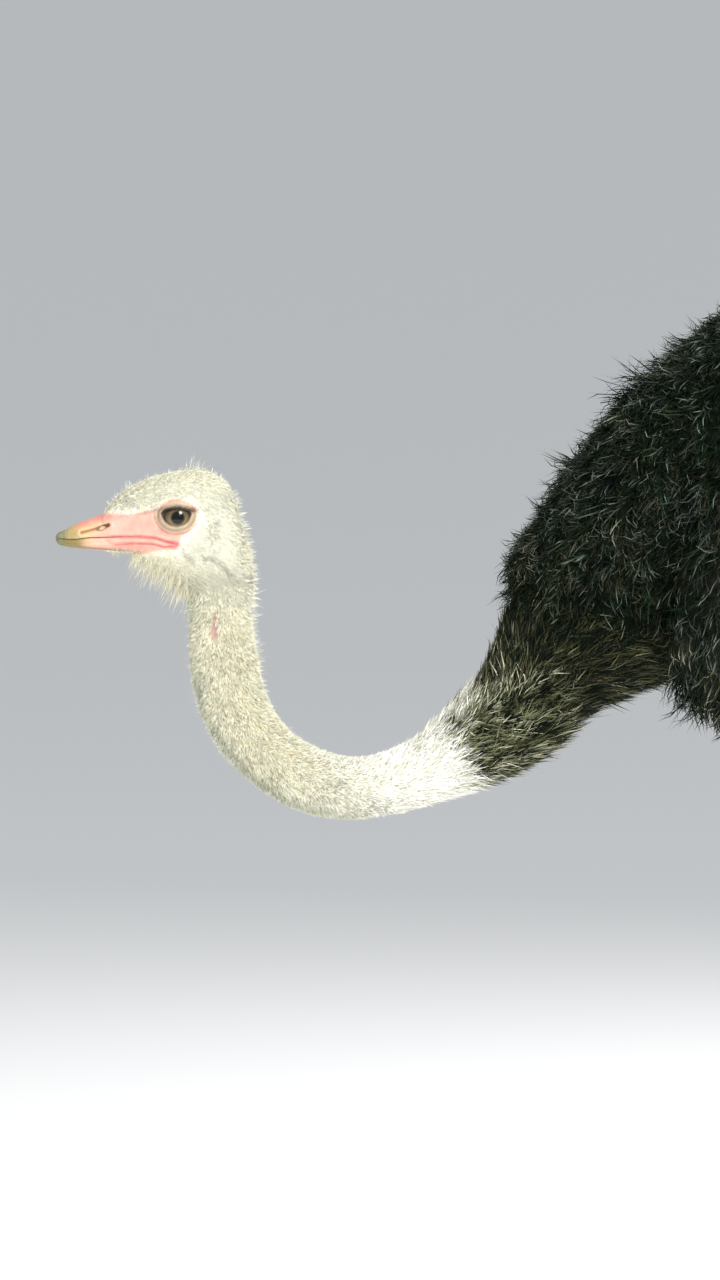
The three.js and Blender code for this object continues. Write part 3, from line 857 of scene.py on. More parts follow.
class Coat:
    """Gathers strands and makes them into one piece, with the map OFBake."""

    def __init__(self):
        self.points, self.faces, self.colours, self.places, self.count = [], [], [], [], 0

    def add(self, points, colours, places, root_shade=0.6, tip_shade=1.2, tip_colour=None):
        """colours and places hold one row for each strand. root_shade and tip_shade paint shade and light:
        each strand is darker at its root, deep in the coat, and lighter toward its tip.
        """
        count, rows = points.shape[:2]
        steps = rows // 2
        s = np.append(np.repeat(np.arange(steps), 2), steps) / steps
        shade = root_shade + (tip_shade - root_shade) * s
        c = colours[:, None, :] * shade[None, :, None]
        if tip_colour is not None:
            c = mix(c, tip_colour[:, None, :], (s ** 1.9)[None, :] * np.ones((count, 1)))
        sideways = np.append(np.tile([-0.5, 0.5], steps), 0.0)
        patch = np.stack([sideways, s], 1) * PATCH
        self.faces.append(strand_faces(count, steps) + self.count)
        self.points.append(points.reshape(-1, 3))
        self.colours.append(c.reshape(-1, 3))
        self.places.append((places[:, None, :] + patch[None]).reshape(-1, 2))
        self.count += count * rows

    def make(self, name, surface, slot, *nodes):
        obj = mesh_object(name, np.vstack(self.points), np.vstack(self.faces))
        paint(obj, np.vstack(self.colours))
        layer = obj.data.uv_layers.new(name="OFBake")
        index = read(obj.data.loops, "vertex_index", 1, np.int32)[:, 0]
        layer.data.foreach_set("uv", np.vstack(self.places)[index].astype(np.float32).ravel())
        finish_piece(obj, surface, slot, *nodes)


def coat_piece(name, surface, slot, blades, colours, places, **shades):
    coat = Coat()
    coat.add(blades, colours, places, **shades)
    coat.make(name, surface, slot)


# ---------------- where the coat is rooted

skin.data.calc_loop_triangles()
triangles = read(skin.data.loop_triangles, "vertices", 3, np.int32)
triangle_sides = skin_points[triangles[:, 1:]] - skin_points[triangles[:, :1]]
triangle_area = np.linalg.norm(np.cross(triangle_sides[:, 0], triangle_sides[:, 1]), axis=1) / 2
triangle_middle = skin_points[triangles].mean(1)
triangle_normal = unit(np.cross(triangle_sides[:, 0], triangle_sides[:, 1]))
triangle_part = skin_part[triangles[:, 0]]
triangle_t = skin_t[triangles[:, 0]]


class Roots:
    """Places on the skin, spread by weight: point, normal, part, t, angle, and the way t runs."""

    def __init__(self, weight, count):
        share = np.cumsum(triangle_area * weight)
        at = (np.arange(count) + rng.random(count)) / count * share[-1]
        chosen = np.minimum(np.searchsorted(share, at), len(triangles) - 1)
        a, b = rng.random((2, count))
        flip = a + b > 1
        a, b = np.where(flip, 1 - a, a), np.where(flip, 1 - b, b)
        shares = columns(1 - a - b, a, b)[:, :, None]
        corners = triangles[chosen]
        self.point = (skin_points[corners] * shares).sum(1)
        self.normal = unit((skin_normals[corners] * shares).sum(1))
        _, self.part, self.t, self.angle = nearest_source(self.point)
        self.ahead = np.tile(X_AXIS, (count, 1))
        for number, form in enumerate(PARTS[:LEG_PARTS]):
            own = self.part == number
            if own.any():
                self.ahead[own] = form.axis(np.clip(self.t[own], 0, 1))
        self.ahead = along_surface(self.ahead, self.normal)
        self.count = count

    def pick(self, chosen):
        some = object.__new__(Roots)
        for key in ("point", "normal", "part", "t", "angle", "ahead"):
            setattr(some, key, getattr(self, key)[chosen])
        some.count = len(some.point)
        return some

    def clumps(self, each, spread):
        """Several roots close together for each one, and the number of the one they are from."""
        index = np.repeat(np.arange(self.count), each)
        many = self.pick(index)
        off = rng.normal(0, spread, (many.count, 3))
        many.point = many.point + off - many.normal * dot(off, many.normal)
        return many, index

    def grow(self, depth, lie, tilt, *shape, **more):
        """Strands that start a little under the skin and lie along it, each turned by its tilt."""
        start = self.point - self.normal * depth
        return strands(start, self.normal, tilted(lie, self.normal, tilt), *shape, **more)


def tuft_map(t, angle, t_range, turn=0.0, span=2 * math.pi):
    """A place in a piece's own unwrap: along the form one way, and round it the other."""
    low, high = t_range
    u = 0.01 + 0.975 * np.clip((t - low) / (high - low), 0, 1)
    v = 0.01 + 0.975 * np.clip(np.mod(angle + turn, 2 * math.pi) / span, 0, 1)
    return columns(u, v)


def random(low, high, count):
    return rng.uniform(low, high, count)


def tilted(lie, normal, angle):
    """lie turned about the normal."""
    angle = np.reshape(angle, (-1, 1))
    return np.cos(angle) * lie + np.sin(angle) * np.cross(normal, lie)


# ---------------- black plumage of the body

# Pale tones painted as highlights on the tips of the black feathers.
SHEEN_WARM, SHEEN_COOL = rgb(128, 128, 110), rgb(104, 116, 108)


def body_lie(p, normal):
    """Body feathers point back and hang down, in swirls."""
    back = -0.22 + 0.75 * smoothstep(p[:, 0], -80, 360)
    lie = along_surface(columns(back, 0, -1), normal)
    return tilted(lie, normal, 0.5 * noise(p, 60, 11) + 0.6 * noise(p, 20, 12))


def body_colours(p, count):
    """Near black, with some tufts brownish."""
    shade = np.exp(0.38 * noise(p, 45, 13) + rng.normal(0, 0.28, count))
    colour = BLACK * shade[:, None]
    brown = smoothstep(rng.random(count) + 0.12 * noise(p, 70, 14), 0.8, 0.95)
    return mix(colour, BROWN * 0.4, 0.7 * brown)


WING_EDGE = [[-100, 1190], [-112, 1140], [-128, 1075], [-137, 1011], [-134, 950], [-120, 900]]
# Where the tufts are longer or shorter: x, z, radius, share of the length.
RUFFLED = ((-175, 1243, 46, 0.45), (-310, 1025, 32, 0.4), (-128, 950, 26, 0.6), (-78, 895, 30, -0.35),
           (-272, 1104, 32, -0.4), (-146, 1264, 22, 0.3))
BODY_CLUMP, BODY_CLUMP_SPREAD = 5, 3.2
SIDE_LIMIT, SIDE_PULL = 284.0, 0.72   # strands beyond the limit are pulled in by this share


def body_coat(name, weight, tufts, steps, length, t_range, turn, span, hang, sway=1.5):
    roots = Roots(weight, tufts)
    x, _, z = roots.point.T
    # Painted shade: a dark band along the front edge of the wing.
    edge = distance_to_line(x, z, WING_EDGE) + 3 * noise(roots.point, 20, 15)
    tint = body_colours(roots.point, tufts) * (1 - 0.6 * bump(edge, 0, 13))[:, None]
    lie = tilted(body_lie(roots.point, roots.normal), roots.normal, rng.normal(0, 0.35, tufts))
    stray = (noise(roots.point, 26, 17) > 0.25) & (rng.random(tufts) < 0.5)
    ruffled = sum(share * np.exp(-(((x - at_x) ** 2 + (z - at_z) ** 2) / radius ** 2))
                  for at_x, at_z, radius, share in RUFFLED)
    shaggy = smoothstep(x, -40, 260)
    tuft_length = length * random(0.7, 1.2, tufts) * np.where(stray, 1.35, 1.0) * (1 + 0.75 * shaggy)
    tuft_length = tuft_length * (1 + 0.22 * noise(roots.point, 48, 16)) * (1 + ruffled)
    rise = np.radians(np.where(stray, random(50, 85, tufts), random(32, 68, tufts)) - 10 * shaggy)
    fall = np.radians(np.where(stray, random(-40, 80, tufts), random(-80, 30, tufts)) - 8 * shaggy)
    tuft_sway = rng.normal(0, sway, tufts) * np.where(rng.random(tufts) < 0.35, 1.6, 1.0)
    place = tuft_map(roots.t, roots.angle, t_range, turn, span)
    many, index = roots.clumps(BODY_CLUMP, BODY_CLUMP_SPREAD)
    n = many.count
    blades = many.grow(
        1.5, lie[index], rng.normal(0, 0.22, n), tuft_length[index] * random(0.7, 1.1, n),
        random(0.75, 1.32, n) * (1 + 0.4 * shaggy[index]), rise[index] + rng.normal(0, 0.13, n),
        fall[index] + rng.normal(0, 0.3, n), tuft_sway[index] + rng.normal(0, 0.4, n), steps,
        roll=rng.normal(0, 0.7, n), droop=hang)
    beyond = np.maximum(np.abs(blades[..., 1]) - SIDE_LIMIT, 0)
    blades[..., 1] -= np.sign(blades[..., 1]) * SIDE_PULL * beyond
    colours = tint[index] * random(0.6, 1.4, n)[:, None]
    # Painted highlights: a share of the strands, more on the wings and toward the front, end in a pale
    # sheen; the other tips are lighter too.
    lit = 0.28 + 0.1 * (hang > 0.4) + 0.2 * noise(many.point, 55, 18) + 0.1 * noise(many.point, 18, 19)
    lit = lit + 0.14 * smoothstep(-many.point[:, 0], 220, 320)
    sheen_tone = mix(SHEEN_COOL, SHEEN_WARM, smoothstep(noise(many.point, 40, 20), -0.3, 0.5))
    light = (rng.random(n) < lit)[:, None]
    tips = np.where(light, colours + sheen_tone * (0.18 + 2.0 * rng.random(n)[:, None] ** 3), colours * 1.5)
    coat_piece(name, BLACK_MATERIAL, "black_plumage", blades, colours, place[index],
               root_shade=0.22, tip_shade=0.8, tip_colour=tips)


for s in SIDES:
    quarter = s * math.pi / 2
    for label, low, high, t_range, tufts, steps in (
            ("front", -400, 60, (-1, 0.5), 6250, 3), ("rear", 60, 700, (0.4, 2), 6200, 2)):
        x, y, _ = triangle_middle.T
        weight = (triangle_part == TRUNK_PART) * (y * s >= 0) * (x >= low) * (x < high)
        body_coat(f"coat_{label}_{SIDE_NAME[s]}", weight, tufts, steps, 27, t_range, quarter,
                  span=math.pi, hang=0.25)
    on_wing = triangle_part == WING_PARTS[s > 0]
    body_coat(f"coat_wing_{SIDE_NAME[s]}", on_wing, 6000, 3, 29, (-1, 2), quarter,
              span=2 * math.pi, hang=0.5, sway=1.1)


# ---------------- neck and head

def neck_colours(p, t, count):
    """White down growing lighter toward a brighter collar, partly as painted light on the lower neck, then
    streaks of grey and brown into the black.
    """
    # From the bend to the collar: the collar's own white, and painted light on the upward-facing lower
    # neck.
    colour = mix(CREAM, COLLAR_WHITE, smoothstep(t, 0.3, 0.6))
    colour = colour * np.exp(0.07 * noise(p, 12, 21) + rng.normal(0, 0.1, count))[:, None]
    dark = black_share(p + np.outer(rng.normal(0, 10, count), X_AXIS))
    deep = smoothstep(t, 0.68, 0.9)
    pick = rng.random(count) + 0.22 * noise(p, 14, 22)
    feather = layered(
        BLACK * np.exp(rng.normal(0, 0.35, count))[:, None],
        (BROWN, (pick > 0.32 + 0.4 * deep) * 0.8),
        (ASH, (pick > 0.58 + 0.38 * deep) * 0.8),
        (STREAK, (pick > 0.84 + 0.25 * deep) * 0.85))
    return mix(colour, feather * (1 - 0.2 * deep)[:, None], dark)


# A grey painted as shade along the lower front edge of the neck.
NECK_SHADE_GREY = rgb(150, 158, 138)
NECK_START = PARTS[NECK_PART].axis(np.zeros(1))[0]


def neck_coat_piece(name, t_low, t_high, tufts, each, width, root_shade):
    roots = Roots((triangle_part == NECK_PART) * (triangle_t >= t_low) * (triangle_t < t_high), tufts)
    x, y, z = roots.point.T
    roots = roots.pick(~((inside_outline(x, z, BARE_PATCH) > 0.4) & (y < 0) & (z > 980)))
    count = roots.count
    own = roots.part == NECK_PART
    t = np.where(own, np.clip(roots.t, 0, 1), t_low)
    under = smoothstep(-roots.normal[:, 2], 0, 0.7) * smoothstep(t, 0.66, 0.76)
    base = 6.6 + 18.6 * smoothstep(t, 0.5, 0.66) + 10 * smoothstep(t, 0.66, 0.95) + 9 * under
    loose = smoothstep(t, 0.42, 0.6)
    below_head = smoothstep(t, 0.02, 0.13)
    start = along_surface(np.tile(NECK_START, (count, 1)), roots.normal)
    lie = np.where(own[:, None], roots.ahead, start)
    swirl = 0.25 * noise(roots.point, 20, 23) * (1 + loose)
    lie = tilted(lie, roots.normal, swirl + rng.normal(0, 0.16, count))
    tint = neck_colours(roots.point, t, count)
    # Painted light and shade on the down above the collar: lighter on the side facing up and back, dark
    # specks that gather on the front side partly as painted shade, and grey painted as shade along the
    # lower front edge.
    inner = roots.normal @ np.array([0.7, 0, 0.7])
    down = smoothstep(t, 0.62, 0.52)
    speck = noise(roots.point, 5, 24) + 0.5 * noise(roots.point, 30, 25) - 0.7 * inner
    speck = smoothstep(speck + rng.normal(0, 0.3, count), 0.35, 0.9)
    tint = tint * (1 + down * (0.1 * smoothstep(inner, 0, 0.6) - 0.24 * speck))[:, None]
    tint = mix(tint, NECK_SHADE_GREY, 0.4 * down * smoothstep(-inner, 0.56, 0.74))
    length = base * (0.9 + 0.1 * below_head) * random(0.75, 1.2, count)
    place = tuft_map(t, roots.angle, (t_low - 0.02, t_high + 0.02))
    many, index = roots.clumps(each, 0.9 + 0.6 * loose.mean())
    n = many.count
    loose, below_head = loose[index], below_head[index]
    rise = np.radians(random(48, 80, n) - 38 * loose + 14 * under[index] - 18 * (1 - below_head))
    fall = np.radians(random(14, 62, n) - 36 * loose)
    blades = many.grow(
        0.7, lie[index], rng.normal(0, 0.2, n), length[index] * random(0.8, 1.15, n),
        width * random(0.7, 1.3, n) * (1 + 0.5 * loose), rise, fall, rng.normal(0, 0.35, n), 2,
        roll=rng.normal(0, 0.6, n), droop=0.05)
    coat_piece(name, DOWN_MATERIAL, "down", blades, tint[index] * random(0.74, 1.18, n)[:, None],
               place[index], root_shade=root_shade, tip_shade=1.19)


neck_coat_piece("down_neck_upper", 0.0, 0.36, 15800, each=3, width=0.7, root_shade=0.74)
neck_coat_piece("down_neck_bend", 0.36, 0.62, 14300, each=3, width=0.8, root_shade=0.8)
neck_coat_piece("down_neck_base", 0.62, 1.01, 9600, each=5, width=0.85, root_shade=0.84)


def head_coat_piece():
    roots = Roots(is_head(triangle_middle) & np.isin(triangle_part, (HEAD_PART, NECK_PART)), 10500)
    x, y, z = roots.point.T
    from_face = np.where(np.abs(y) > 9, -inside_outline(x, z, BARE_FACE), 6)
    chosen = (from_face > -1.5) & (x > -738)
    roots, from_face = roots.pick(chosen), from_face[chosen]
    count = roots.count
    x, y, z = roots.point.T
    crown = smoothstep(z, 1140, 1165)
    nape = smoothstep(z, 1075, 1040) * smoothstep(x, -640, -600)
    tint = mix(CREAM, CHEEK_WHITE, smoothstep(z + 0.3 * (x + 640), 1050, 1095))
    # Painted shade in the down along the creases of the cheek, the gape and the jaw, and from the corners
    # of the eye.
    for crease, depth, width in ((CHEEK_CREASE, 0.22, 3), (GAPE_CREASE, 0.35, 3), (JAW_CREASE, 0.35, 3),
                                 (EYE_CORNERS, 0.4, 2.2)):
        tint = tint * (1 - depth * along_line(x, z, crease, width))[:, None]
    # Painted shade toward the bottom of the head, and painted light on the crown.
    tint = tint * (1 - 0.32 * smoothstep(1084 - z, 0, 34) + 0.22 * crown)[:, None]
    # Painted light on a strip of the cheek, just behind the cheek crease.
    lit_cheek_strip = spot(x, z, -603, 1103, 12, 30)
    tint = tint * ((1 + 0.09 * lit_cheek_strip) * np.exp(0.05 * noise(roots.point, 9, 31)))[:, None]
    lie = along_surface(unit(columns(1, 0, -0.35 - 0.6 * smoothstep(x, -640, -590))), roots.normal)
    lie = tilted(lie, roots.normal, 0.22 * noise(roots.point, 15, 32) + rng.normal(0, 0.12, count))
    place = columns(
        0.01 + 0.97 * np.clip((x + 745) / 190, 0, 1),
        np.where(y < 0, 0.01, 0.51) + 0.47 * np.clip((z - 1025) / 155, 0, 1))
    base = 2.6 + 4.2 * smoothstep(from_face, -1, 12)
    many, index = roots.clumps(4, 0.9)
    n = many.count
    blades = many.grow(
        0.5, lie[index], rng.normal(0, 0.18, n), base[index] * random(0.75, 1.25, n), random(0.5, 0.85, n),
        np.radians(random(18, 40, n) + 14 * crown[index] + 16 * nape[index]),
        np.radians(random(0, 16, n) + 10 * crown[index]), rng.normal(0, 0.25, n), 2,
        roll=rng.normal(0, 0.5, n))
    coat_piece("down_head", DOWN_MATERIAL, "down", blades, tint[index] * random(0.9, 1.08, n)[:, None],
               place[index], root_shade=0.9, tip_shade=1.05)


head_coat_piece()


# ---------------- eyes, lid rims and lashes

def closed_rings(rings):
    """Faces for rings of equal size, one after another, with a point capping each end."""
    count, sides = rings.shape[:2]
    i, j = np.meshgrid(np.arange(count - 1), np.arange(sides), indexing="ij")
    a, b = (i * sides + j).ravel(), (i * sides + (j + 1) % sides).ravel()
    k, n, last = np.arange(sides), count * sides, (count - 1) * sides
    faces = np.vstack([
        columns(a, b, b + sides), columns(a, b + sides, a + sides), columns(n, (k + 1) % sides, k),
        columns(n + 1, last + k, last + (k + 1) % sides)]).astype(int)
    return np.vstack([rings.reshape(-1, 3), rings[0].mean(0), rings[-1].mean(0)]), faces


PUPIL, IRIS = math.radians(16), math.radians(39)
IRIS_BROWN, IRIS_OLIVE = rgb(62, 46, 30), rgb(122, 108, 78)
PUPIL_BLACK, EYE_WHITE = rgb(10, 9, 9), rgb(92, 78, 66)


def eyeball(side):
    gaze = unit(np.array([0.02, side, 0.08]))
    across = unit(np.cross(Z_AXIS, gaze))
    upward = np.cross(gaze, across)
    off = np.radians(np.concatenate([np.linspace(0.6, 60, 56), np.linspace(66, 179, 18)]))
    o, a = (v[..., None] for v in np.meshgrid(off, circle(96), indexing="ij"))
    radius = EYEBALL_RADIUS - 0.4 + 1.5 * bump(o, 0, math.radians(30))
    d = np.cos(o) * gaze + np.sin(o) * np.cos(a) * across + np.sin(o) * np.sin(a) * upward
    points, faces = closed_rings(EYE * [1, side, 1] + d * radius)
    o, a = np.append(o.ravel(), [0, math.pi]), np.append(a.ravel(), [0, 0])
    fibres = 0.5 * np.sin(a * 37 + 3 * np.sin(a * 5)) + 0.5 * np.sin(a * 61 + 2 * np.sin(a * 7))
    ring = (o - PUPIL) / (IRIS - PUPIL)
    # Painted shade of the upper lid: the iris is less olive toward the top and more olive below.
    olive = 0.45 + 0.28 * fibres + 0.4 * bump(ring, 0.3, 0.3) - 0.45 * np.sin(a) * ring
    colour = mix(IRIS_BROWN, IRIS_OLIVE, np.clip(olive, 0, 1))
    colour = layered(
        # Painted shade of the upper lid darkens the top of the iris.
        colour * (1 - 0.62 * smoothstep(np.sin(a) * ring, -0.25, 0.55))[:, None],
        (PUPIL_BLACK, 1 - smoothstep(ring, -0.08, 0.3)),
        (EYE_WHITE * 0.35, smoothstep(ring, 0.84, 0.98)),
        (EYE_WHITE, smoothstep(ring, 1.05, 1.3)))
    side_name = SIDE_NAME[side]
    piece(f"eyeball_{side_name}", points, faces, colour, EYE_MATERIAL, "eye", f"eye_{side_name}")


def lid_rim(side, around=96, sides=10):
    """A thin roll along the edge of the lids."""
    x, z = np.array(opening_outline(around)).T
    upper = smoothstep(z, OPENING_LINE - 3, OPENING_LINE + 2)
    path = columns(x, side * (ball_height(x, z) + 1.4 + 0.5 * upper), z)
    along = unit(np.roll(path, -1, 0) - np.roll(path, 1, 0))
    out = unit(path - EYE * [1, side, 1])
    turn = circle(sides)[None, :, None]
    ring = np.cos(turn) * out[:, None] + np.sin(turn) * np.cross(along, out)[:, None]
    points = (path[:, None] + ring * (0.7 + 0.55 * upper)[:, None, None]).reshape(-1, 3)
    i, j = np.meshgrid(np.arange(around) * sides, np.arange(sides), indexing="ij")
    k, m = (i + sides) % len(points), (j + 1) % sides
    faces = np.stack([i + j, k + j, k + m, i + m], -1).reshape(-1, 4)
    colour = mix(rgb(150, 120, 102), rgb(40, 32, 27),
                 smoothstep(points[:, 2], OPENING_LINE - 5, OPENING_LINE + 3))
    piece(f"lid_rim_{SIDE_NAME[side]}", points, faces, colour, SKIN_MATERIAL, "skin")


def lashes(side, count=64):
    place = rng.random(count)
    angle = math.pi * (0.98 - 0.96 * place)
    x = OPENING_X + (OPENING_HALF_WIDTH + 0.6) * np.cos(angle)
    z = OPENING_LINE + (OPENING_UP + 0.4) * np.abs(np.sin(angle)) ** 0.8 + random(-0.3, 0.6, count)
    roots = columns(x, side * (ball_height(x, z) + 1.9), z)
    out = np.tile([0, side, 0.0], (count, 1))
    lie = unit(columns(0.35 + 0.75 * place, 0, 0.4 - 0.22 * place))
    blades = strands(
        roots, out, lie, random(4, 7, count) + 3 * place, 0.3, np.radians(random(12, 34, count)),
        np.radians(random(-5, 25, count)), side * random(-0.3, 0.1, count), 3)
    coat_piece(f"lashes_{SIDE_NAME[side]}", DOWN_MATERIAL, "down", blades,
               np.tile(rgb(112, 94, 80), (count, 1)), tuft_map(place, angle, (0, 1)))


for s in SIDES:
    eyeball(s)
    lid_rim(s)
    lashes(s)


# ---------------- bill

BILL = Form("bill", [
    [-776, 0, 1099, 8.5, 7.5, 8.5],
    [-768, 0, 1099, 13.5, 12, 10.5],
    [-756, 0, 1099, 17.5, 16.5, 11.5],
    [-745, 0, 1099, 19.7, 20.6, 12.3],
    [-734.3, 0, 1099, 21.6, 24.6, 13.1],
    [-727, 0, 1099.4, 23.6, 27.5, 13.6],
    [-719, 0, 1100, 24.5, 29, 13.6],
], facing=X_AXIS, power=2.3, domes=(8, 0))
BILL_SIDE, BILL_NAIL, BILL_TIP = rgb(218, 176, 138), rgb(112, 118, 84), rgb(168, 152, 104)
BILL_PINK, BILL_DARK, BILL_OLIVE = rgb(232, 138, 120), rgb(104, 74, 56), rgb(126, 114, 60)
PINK_BAND = [[-765, 1110.5], [-749, 1117.5], [-735, 1122.5], [-722, 1126]]


def mouth_height(x):
    line = np.array(MOUTH)
    return np.interp(x, line[:, 0], line[:, 1], left=1098.6)


def culmen_height(x):
    return np.interp(x, BILL.stations[:, 0], BILL.stations[:, 2] + BILL.stations[:, 4])


def bill_half(name, upper, node, sides=128):
    t = np.concatenate([-1 + (np.arange(1, 16) / 16) ** 1.5, np.linspace(0, 1, 96)])
    t = np.clip(t, -0.97, 1)
    x, y, z = BILL.points(np.repeat(t, sides), np.tile(circle(sides), len(t))).T
    height = mouth_height(x)
    side = np.sign(y) * smoothstep(np.abs(y), 3, 8)
    if upper:
        y = y + nostril_relief(x, z) * side
        ridge = bump(y, 0, 4.2) * smoothstep(z, height + 3, height + 8)
        z = z + 0.9 * ridge * smoothstep(x, -782, -765)
        hollow = bump(z - height, 0.62 * (culmen_height(x) - 1099), 3.2)
        y = y - 1.1 * hollow * side * smoothstep(x, -780, -760)
        nail = bump(x, -772.5, 1.4) * smoothstep(z, height, height + 4)
        y, z = y * (1 - 0.05 * nail), z - 0.7 * nail
        y = y + 0.35 * bump(z - height, 0.8, 1.6) * side
        z = np.maximum(z, height + 0.28 + 0.5 * bump(x, -779, 3))
    else:
        groove = bump(z - height, -6.0, 1.2) * smoothstep(x, -774, -760)
        y = y * 0.965 - 0.5 * groove * side
        z = np.minimum(z, height - 0.28)
    points, faces = closed_rings(columns(x, y, z).reshape(len(t), sides, 3))
    x, y, z = points.T
    if upper:
        patchy = 0.5 + 0.5 * noise(points, 5, 41)
        pink = (0.55 + 0.4 * patchy) * along_line(x, z, PINK_BAND, 4.2)
        colour = layered(
            BILL_SIDE,
            (BILL_TIP, 0.95 * smoothstep(-x, 748, 764)),
            (BILL_PINK, pink * smoothstep(x, -768, -756)),
            (BILL_PINK, 0.5 * bump(z, 1104.5, 1.8) * smoothstep(x, -766, -750) * patchy),
            (mix(FACE_PINK, DEEP_PINK, 0.2), 0.9 * smoothstep(x, -752, -736) * smoothstep(1118 - z, -3, 3)),
            (DEEP_PINK, 0.4 * smoothstep(x, -746, -736) * smoothstep(z, 1114, 1120)))
        colour = np.where(np.abs(y)[:, None] > 6, nostril_colours(colour, x, z), colour)
    else:
        # Painted shade along the lower edge of the lower bill and on its underside.
        jaw = np.maximum(0.85 * along_line(x, z, JAW_EDGE, 1.7), 0.6 * smoothstep(1087.6 - z, 0, 1.5))
        colour = layered(
            BILL_SIDE,
            (BILL_OLIVE, 0.95 * smoothstep(-x, 742, 764)),
            (FACE_PINK, 0.85 * smoothstep(x, -754, -738)),
            (BILL_PINK, 0.65 * bump(z, 1088.4, 1.6) * smoothstep(x, -764, -750)),
            (JAW_SHADE, jaw))
    colour = layered(
        colour,
        (BILL_NAIL, 0.8 * smoothstep(-x + 1.2 * noise(points, 4, 42), 771, 775.5)),
        (BILL_DARK, 0.5 * bump(z, mouth_height(x), 0.9)))
    colour = colour * (1 + 0.05 * noise(points, 2.5, 43))[:, None]
    piece(name, points, faces, colour, BILL_MATERIAL, "bill", node)


bill_half("bill_top", True, "bill_upper")
bill_half("bill_bottom", False, "bill_lower")


# ---------------- scales of the legs and toes, and the claws

def plates(name, form, t_rows, middle, spread, lift, rows=6, across=13):
    """Overlapping plates across a limb, each row lying over the next one down."""
    grid = np.arange(rows * across).reshape(rows, across)
    corner = grid[:-1, :-1].ravel()
    quads = np.stack([corner, corner + 1, corner + across + 1, corner + across], 1)
    rim = np.concatenate([grid[0], grid[1:-1, -1], grid[-1, ::-1], grid[-2:0:-1, 0]])
    after = np.roll(rim, -1)
    wall = np.stack([rim, rim + grid.size, after + grid.size, after], 1)
    plate = np.vstack([quads, quads[:, ::-1] + grid.size, wall])
    r, c = np.meshgrid(np.linspace(0, 1, rows), np.linspace(-1, 1, across), indexing="ij")
    r, c = r.ravel(), c.ravel()
    domed = np.sin(r * math.pi * 0.78) ** 0.6 * np.clip(1 - np.abs(c) ** 6, 0, 1)
    points, colours = [], []
    for t_low, t_high in t_rows:
        t = t_low + (t_high - t_low) * (-0.12 + 1.22 * r + 0.06 * rng.normal() * c)
        angle = middle + spread * c * (0.94 + 0.06 * rng.random())
        points.append(form.points(t, angle, lift * (-0.5 + 1.5 * domed)))
        points.append(form.points(t, middle + spread * c, -1.6 + 0 * r))
        tone = mix(SCUTE, LEG_DARK, np.clip(0.3 + 0.18 * rng.normal() + 0 * r, 0, 1))
        tone = mix(tone, LEG_DARK * 0.62, 0.75 * smoothstep(domed, 0.75, 0.25))
        colours += [tone, tone * 0.7]
    starts = np.arange(len(t_rows))[:, None, None] * 2 * grid.size
    obj = mesh_object(name, np.vstack(points), (plate + starts).reshape(-1, 4))
    bm = bmesh.new()
    bm.from_mesh(obj.data)
    bmesh.ops.recalc_face_normals(bm, faces=bm.faces)
    bm.to_mesh(obj.data)
    bm.free()
    paint(obj, np.vstack(colours))
    finish_piece(obj, SCUTE_MATERIAL, "skin")


def pairs(at):
    return list(zip(at[:-1], at[1:]))


def rows_by_height(form, top, bottom, pitch):
    t = np.linspace(0, 1, 800)
    return pairs(np.interp(-np.arange(top, bottom, -pitch), -spline(form.stations, t)[:, 2], t))


def rows_by_share(low, high, count):
    return pairs(np.linspace(low, high, count + 1))


def claw(side):
    points, faces, _, _ = CLAWS[side].mesh(36, 40)
    x, y, z = points.T
    z += 0.8 * bump(y, y.mean(), 7) * smoothstep(z, 8, 16)
    z[:] = np.maximum(z, 2)
    colour = mix(HORN, HORN_DARK, smoothstep(-x, -x.max(), -x.min()))
    piece(f"claw_horn_{SIDE_NAME[side]}", points, faces, colour, HORN_MATERIAL, "horn",
          f"claw_{SIDE_NAME[side]}")


FRONT, TOP = 1.5 * math.pi, 0.5 * math.pi
for s in SIDES:
    for part, form, t_rows, middle, spread, lift in (
            ("shank", LEGS[s], rows_by_height(LEGS[s], top=452, bottom=72, pitch=12.2), FRONT, 0.95, 1.7),
            ("big_toe", BIG_TOES[s], rows_by_share(0.0, 1.0, 18), TOP, 0.8, 1.6),
            ("small_toe", SMALL_TOES[s], rows_by_share(0.12, 1.0, 11), TOP, 0.75, 1.3)):
        plates(f"scutes_{part}_{SIDE_NAME[s]}", form, t_rows, middle, spread, lift)
    claw(s)


# ---------------- plumes of the wings and the tail

def plume_path(start, first, last, length, bends=24):
    """Points along quills that leave in one direction and end in another: (plumes, bends, 3)."""
    s = np.linspace(0, 1, bends)[None, :, None]
    d = unit(first[:, None] * (1 - s) + last[:, None] * s)
    step = d * (np.reshape(length, (-1, 1, 1)) / (bends - 1))
    return start[:, None] + np.cumsum(step, 1) - step[:, :1]


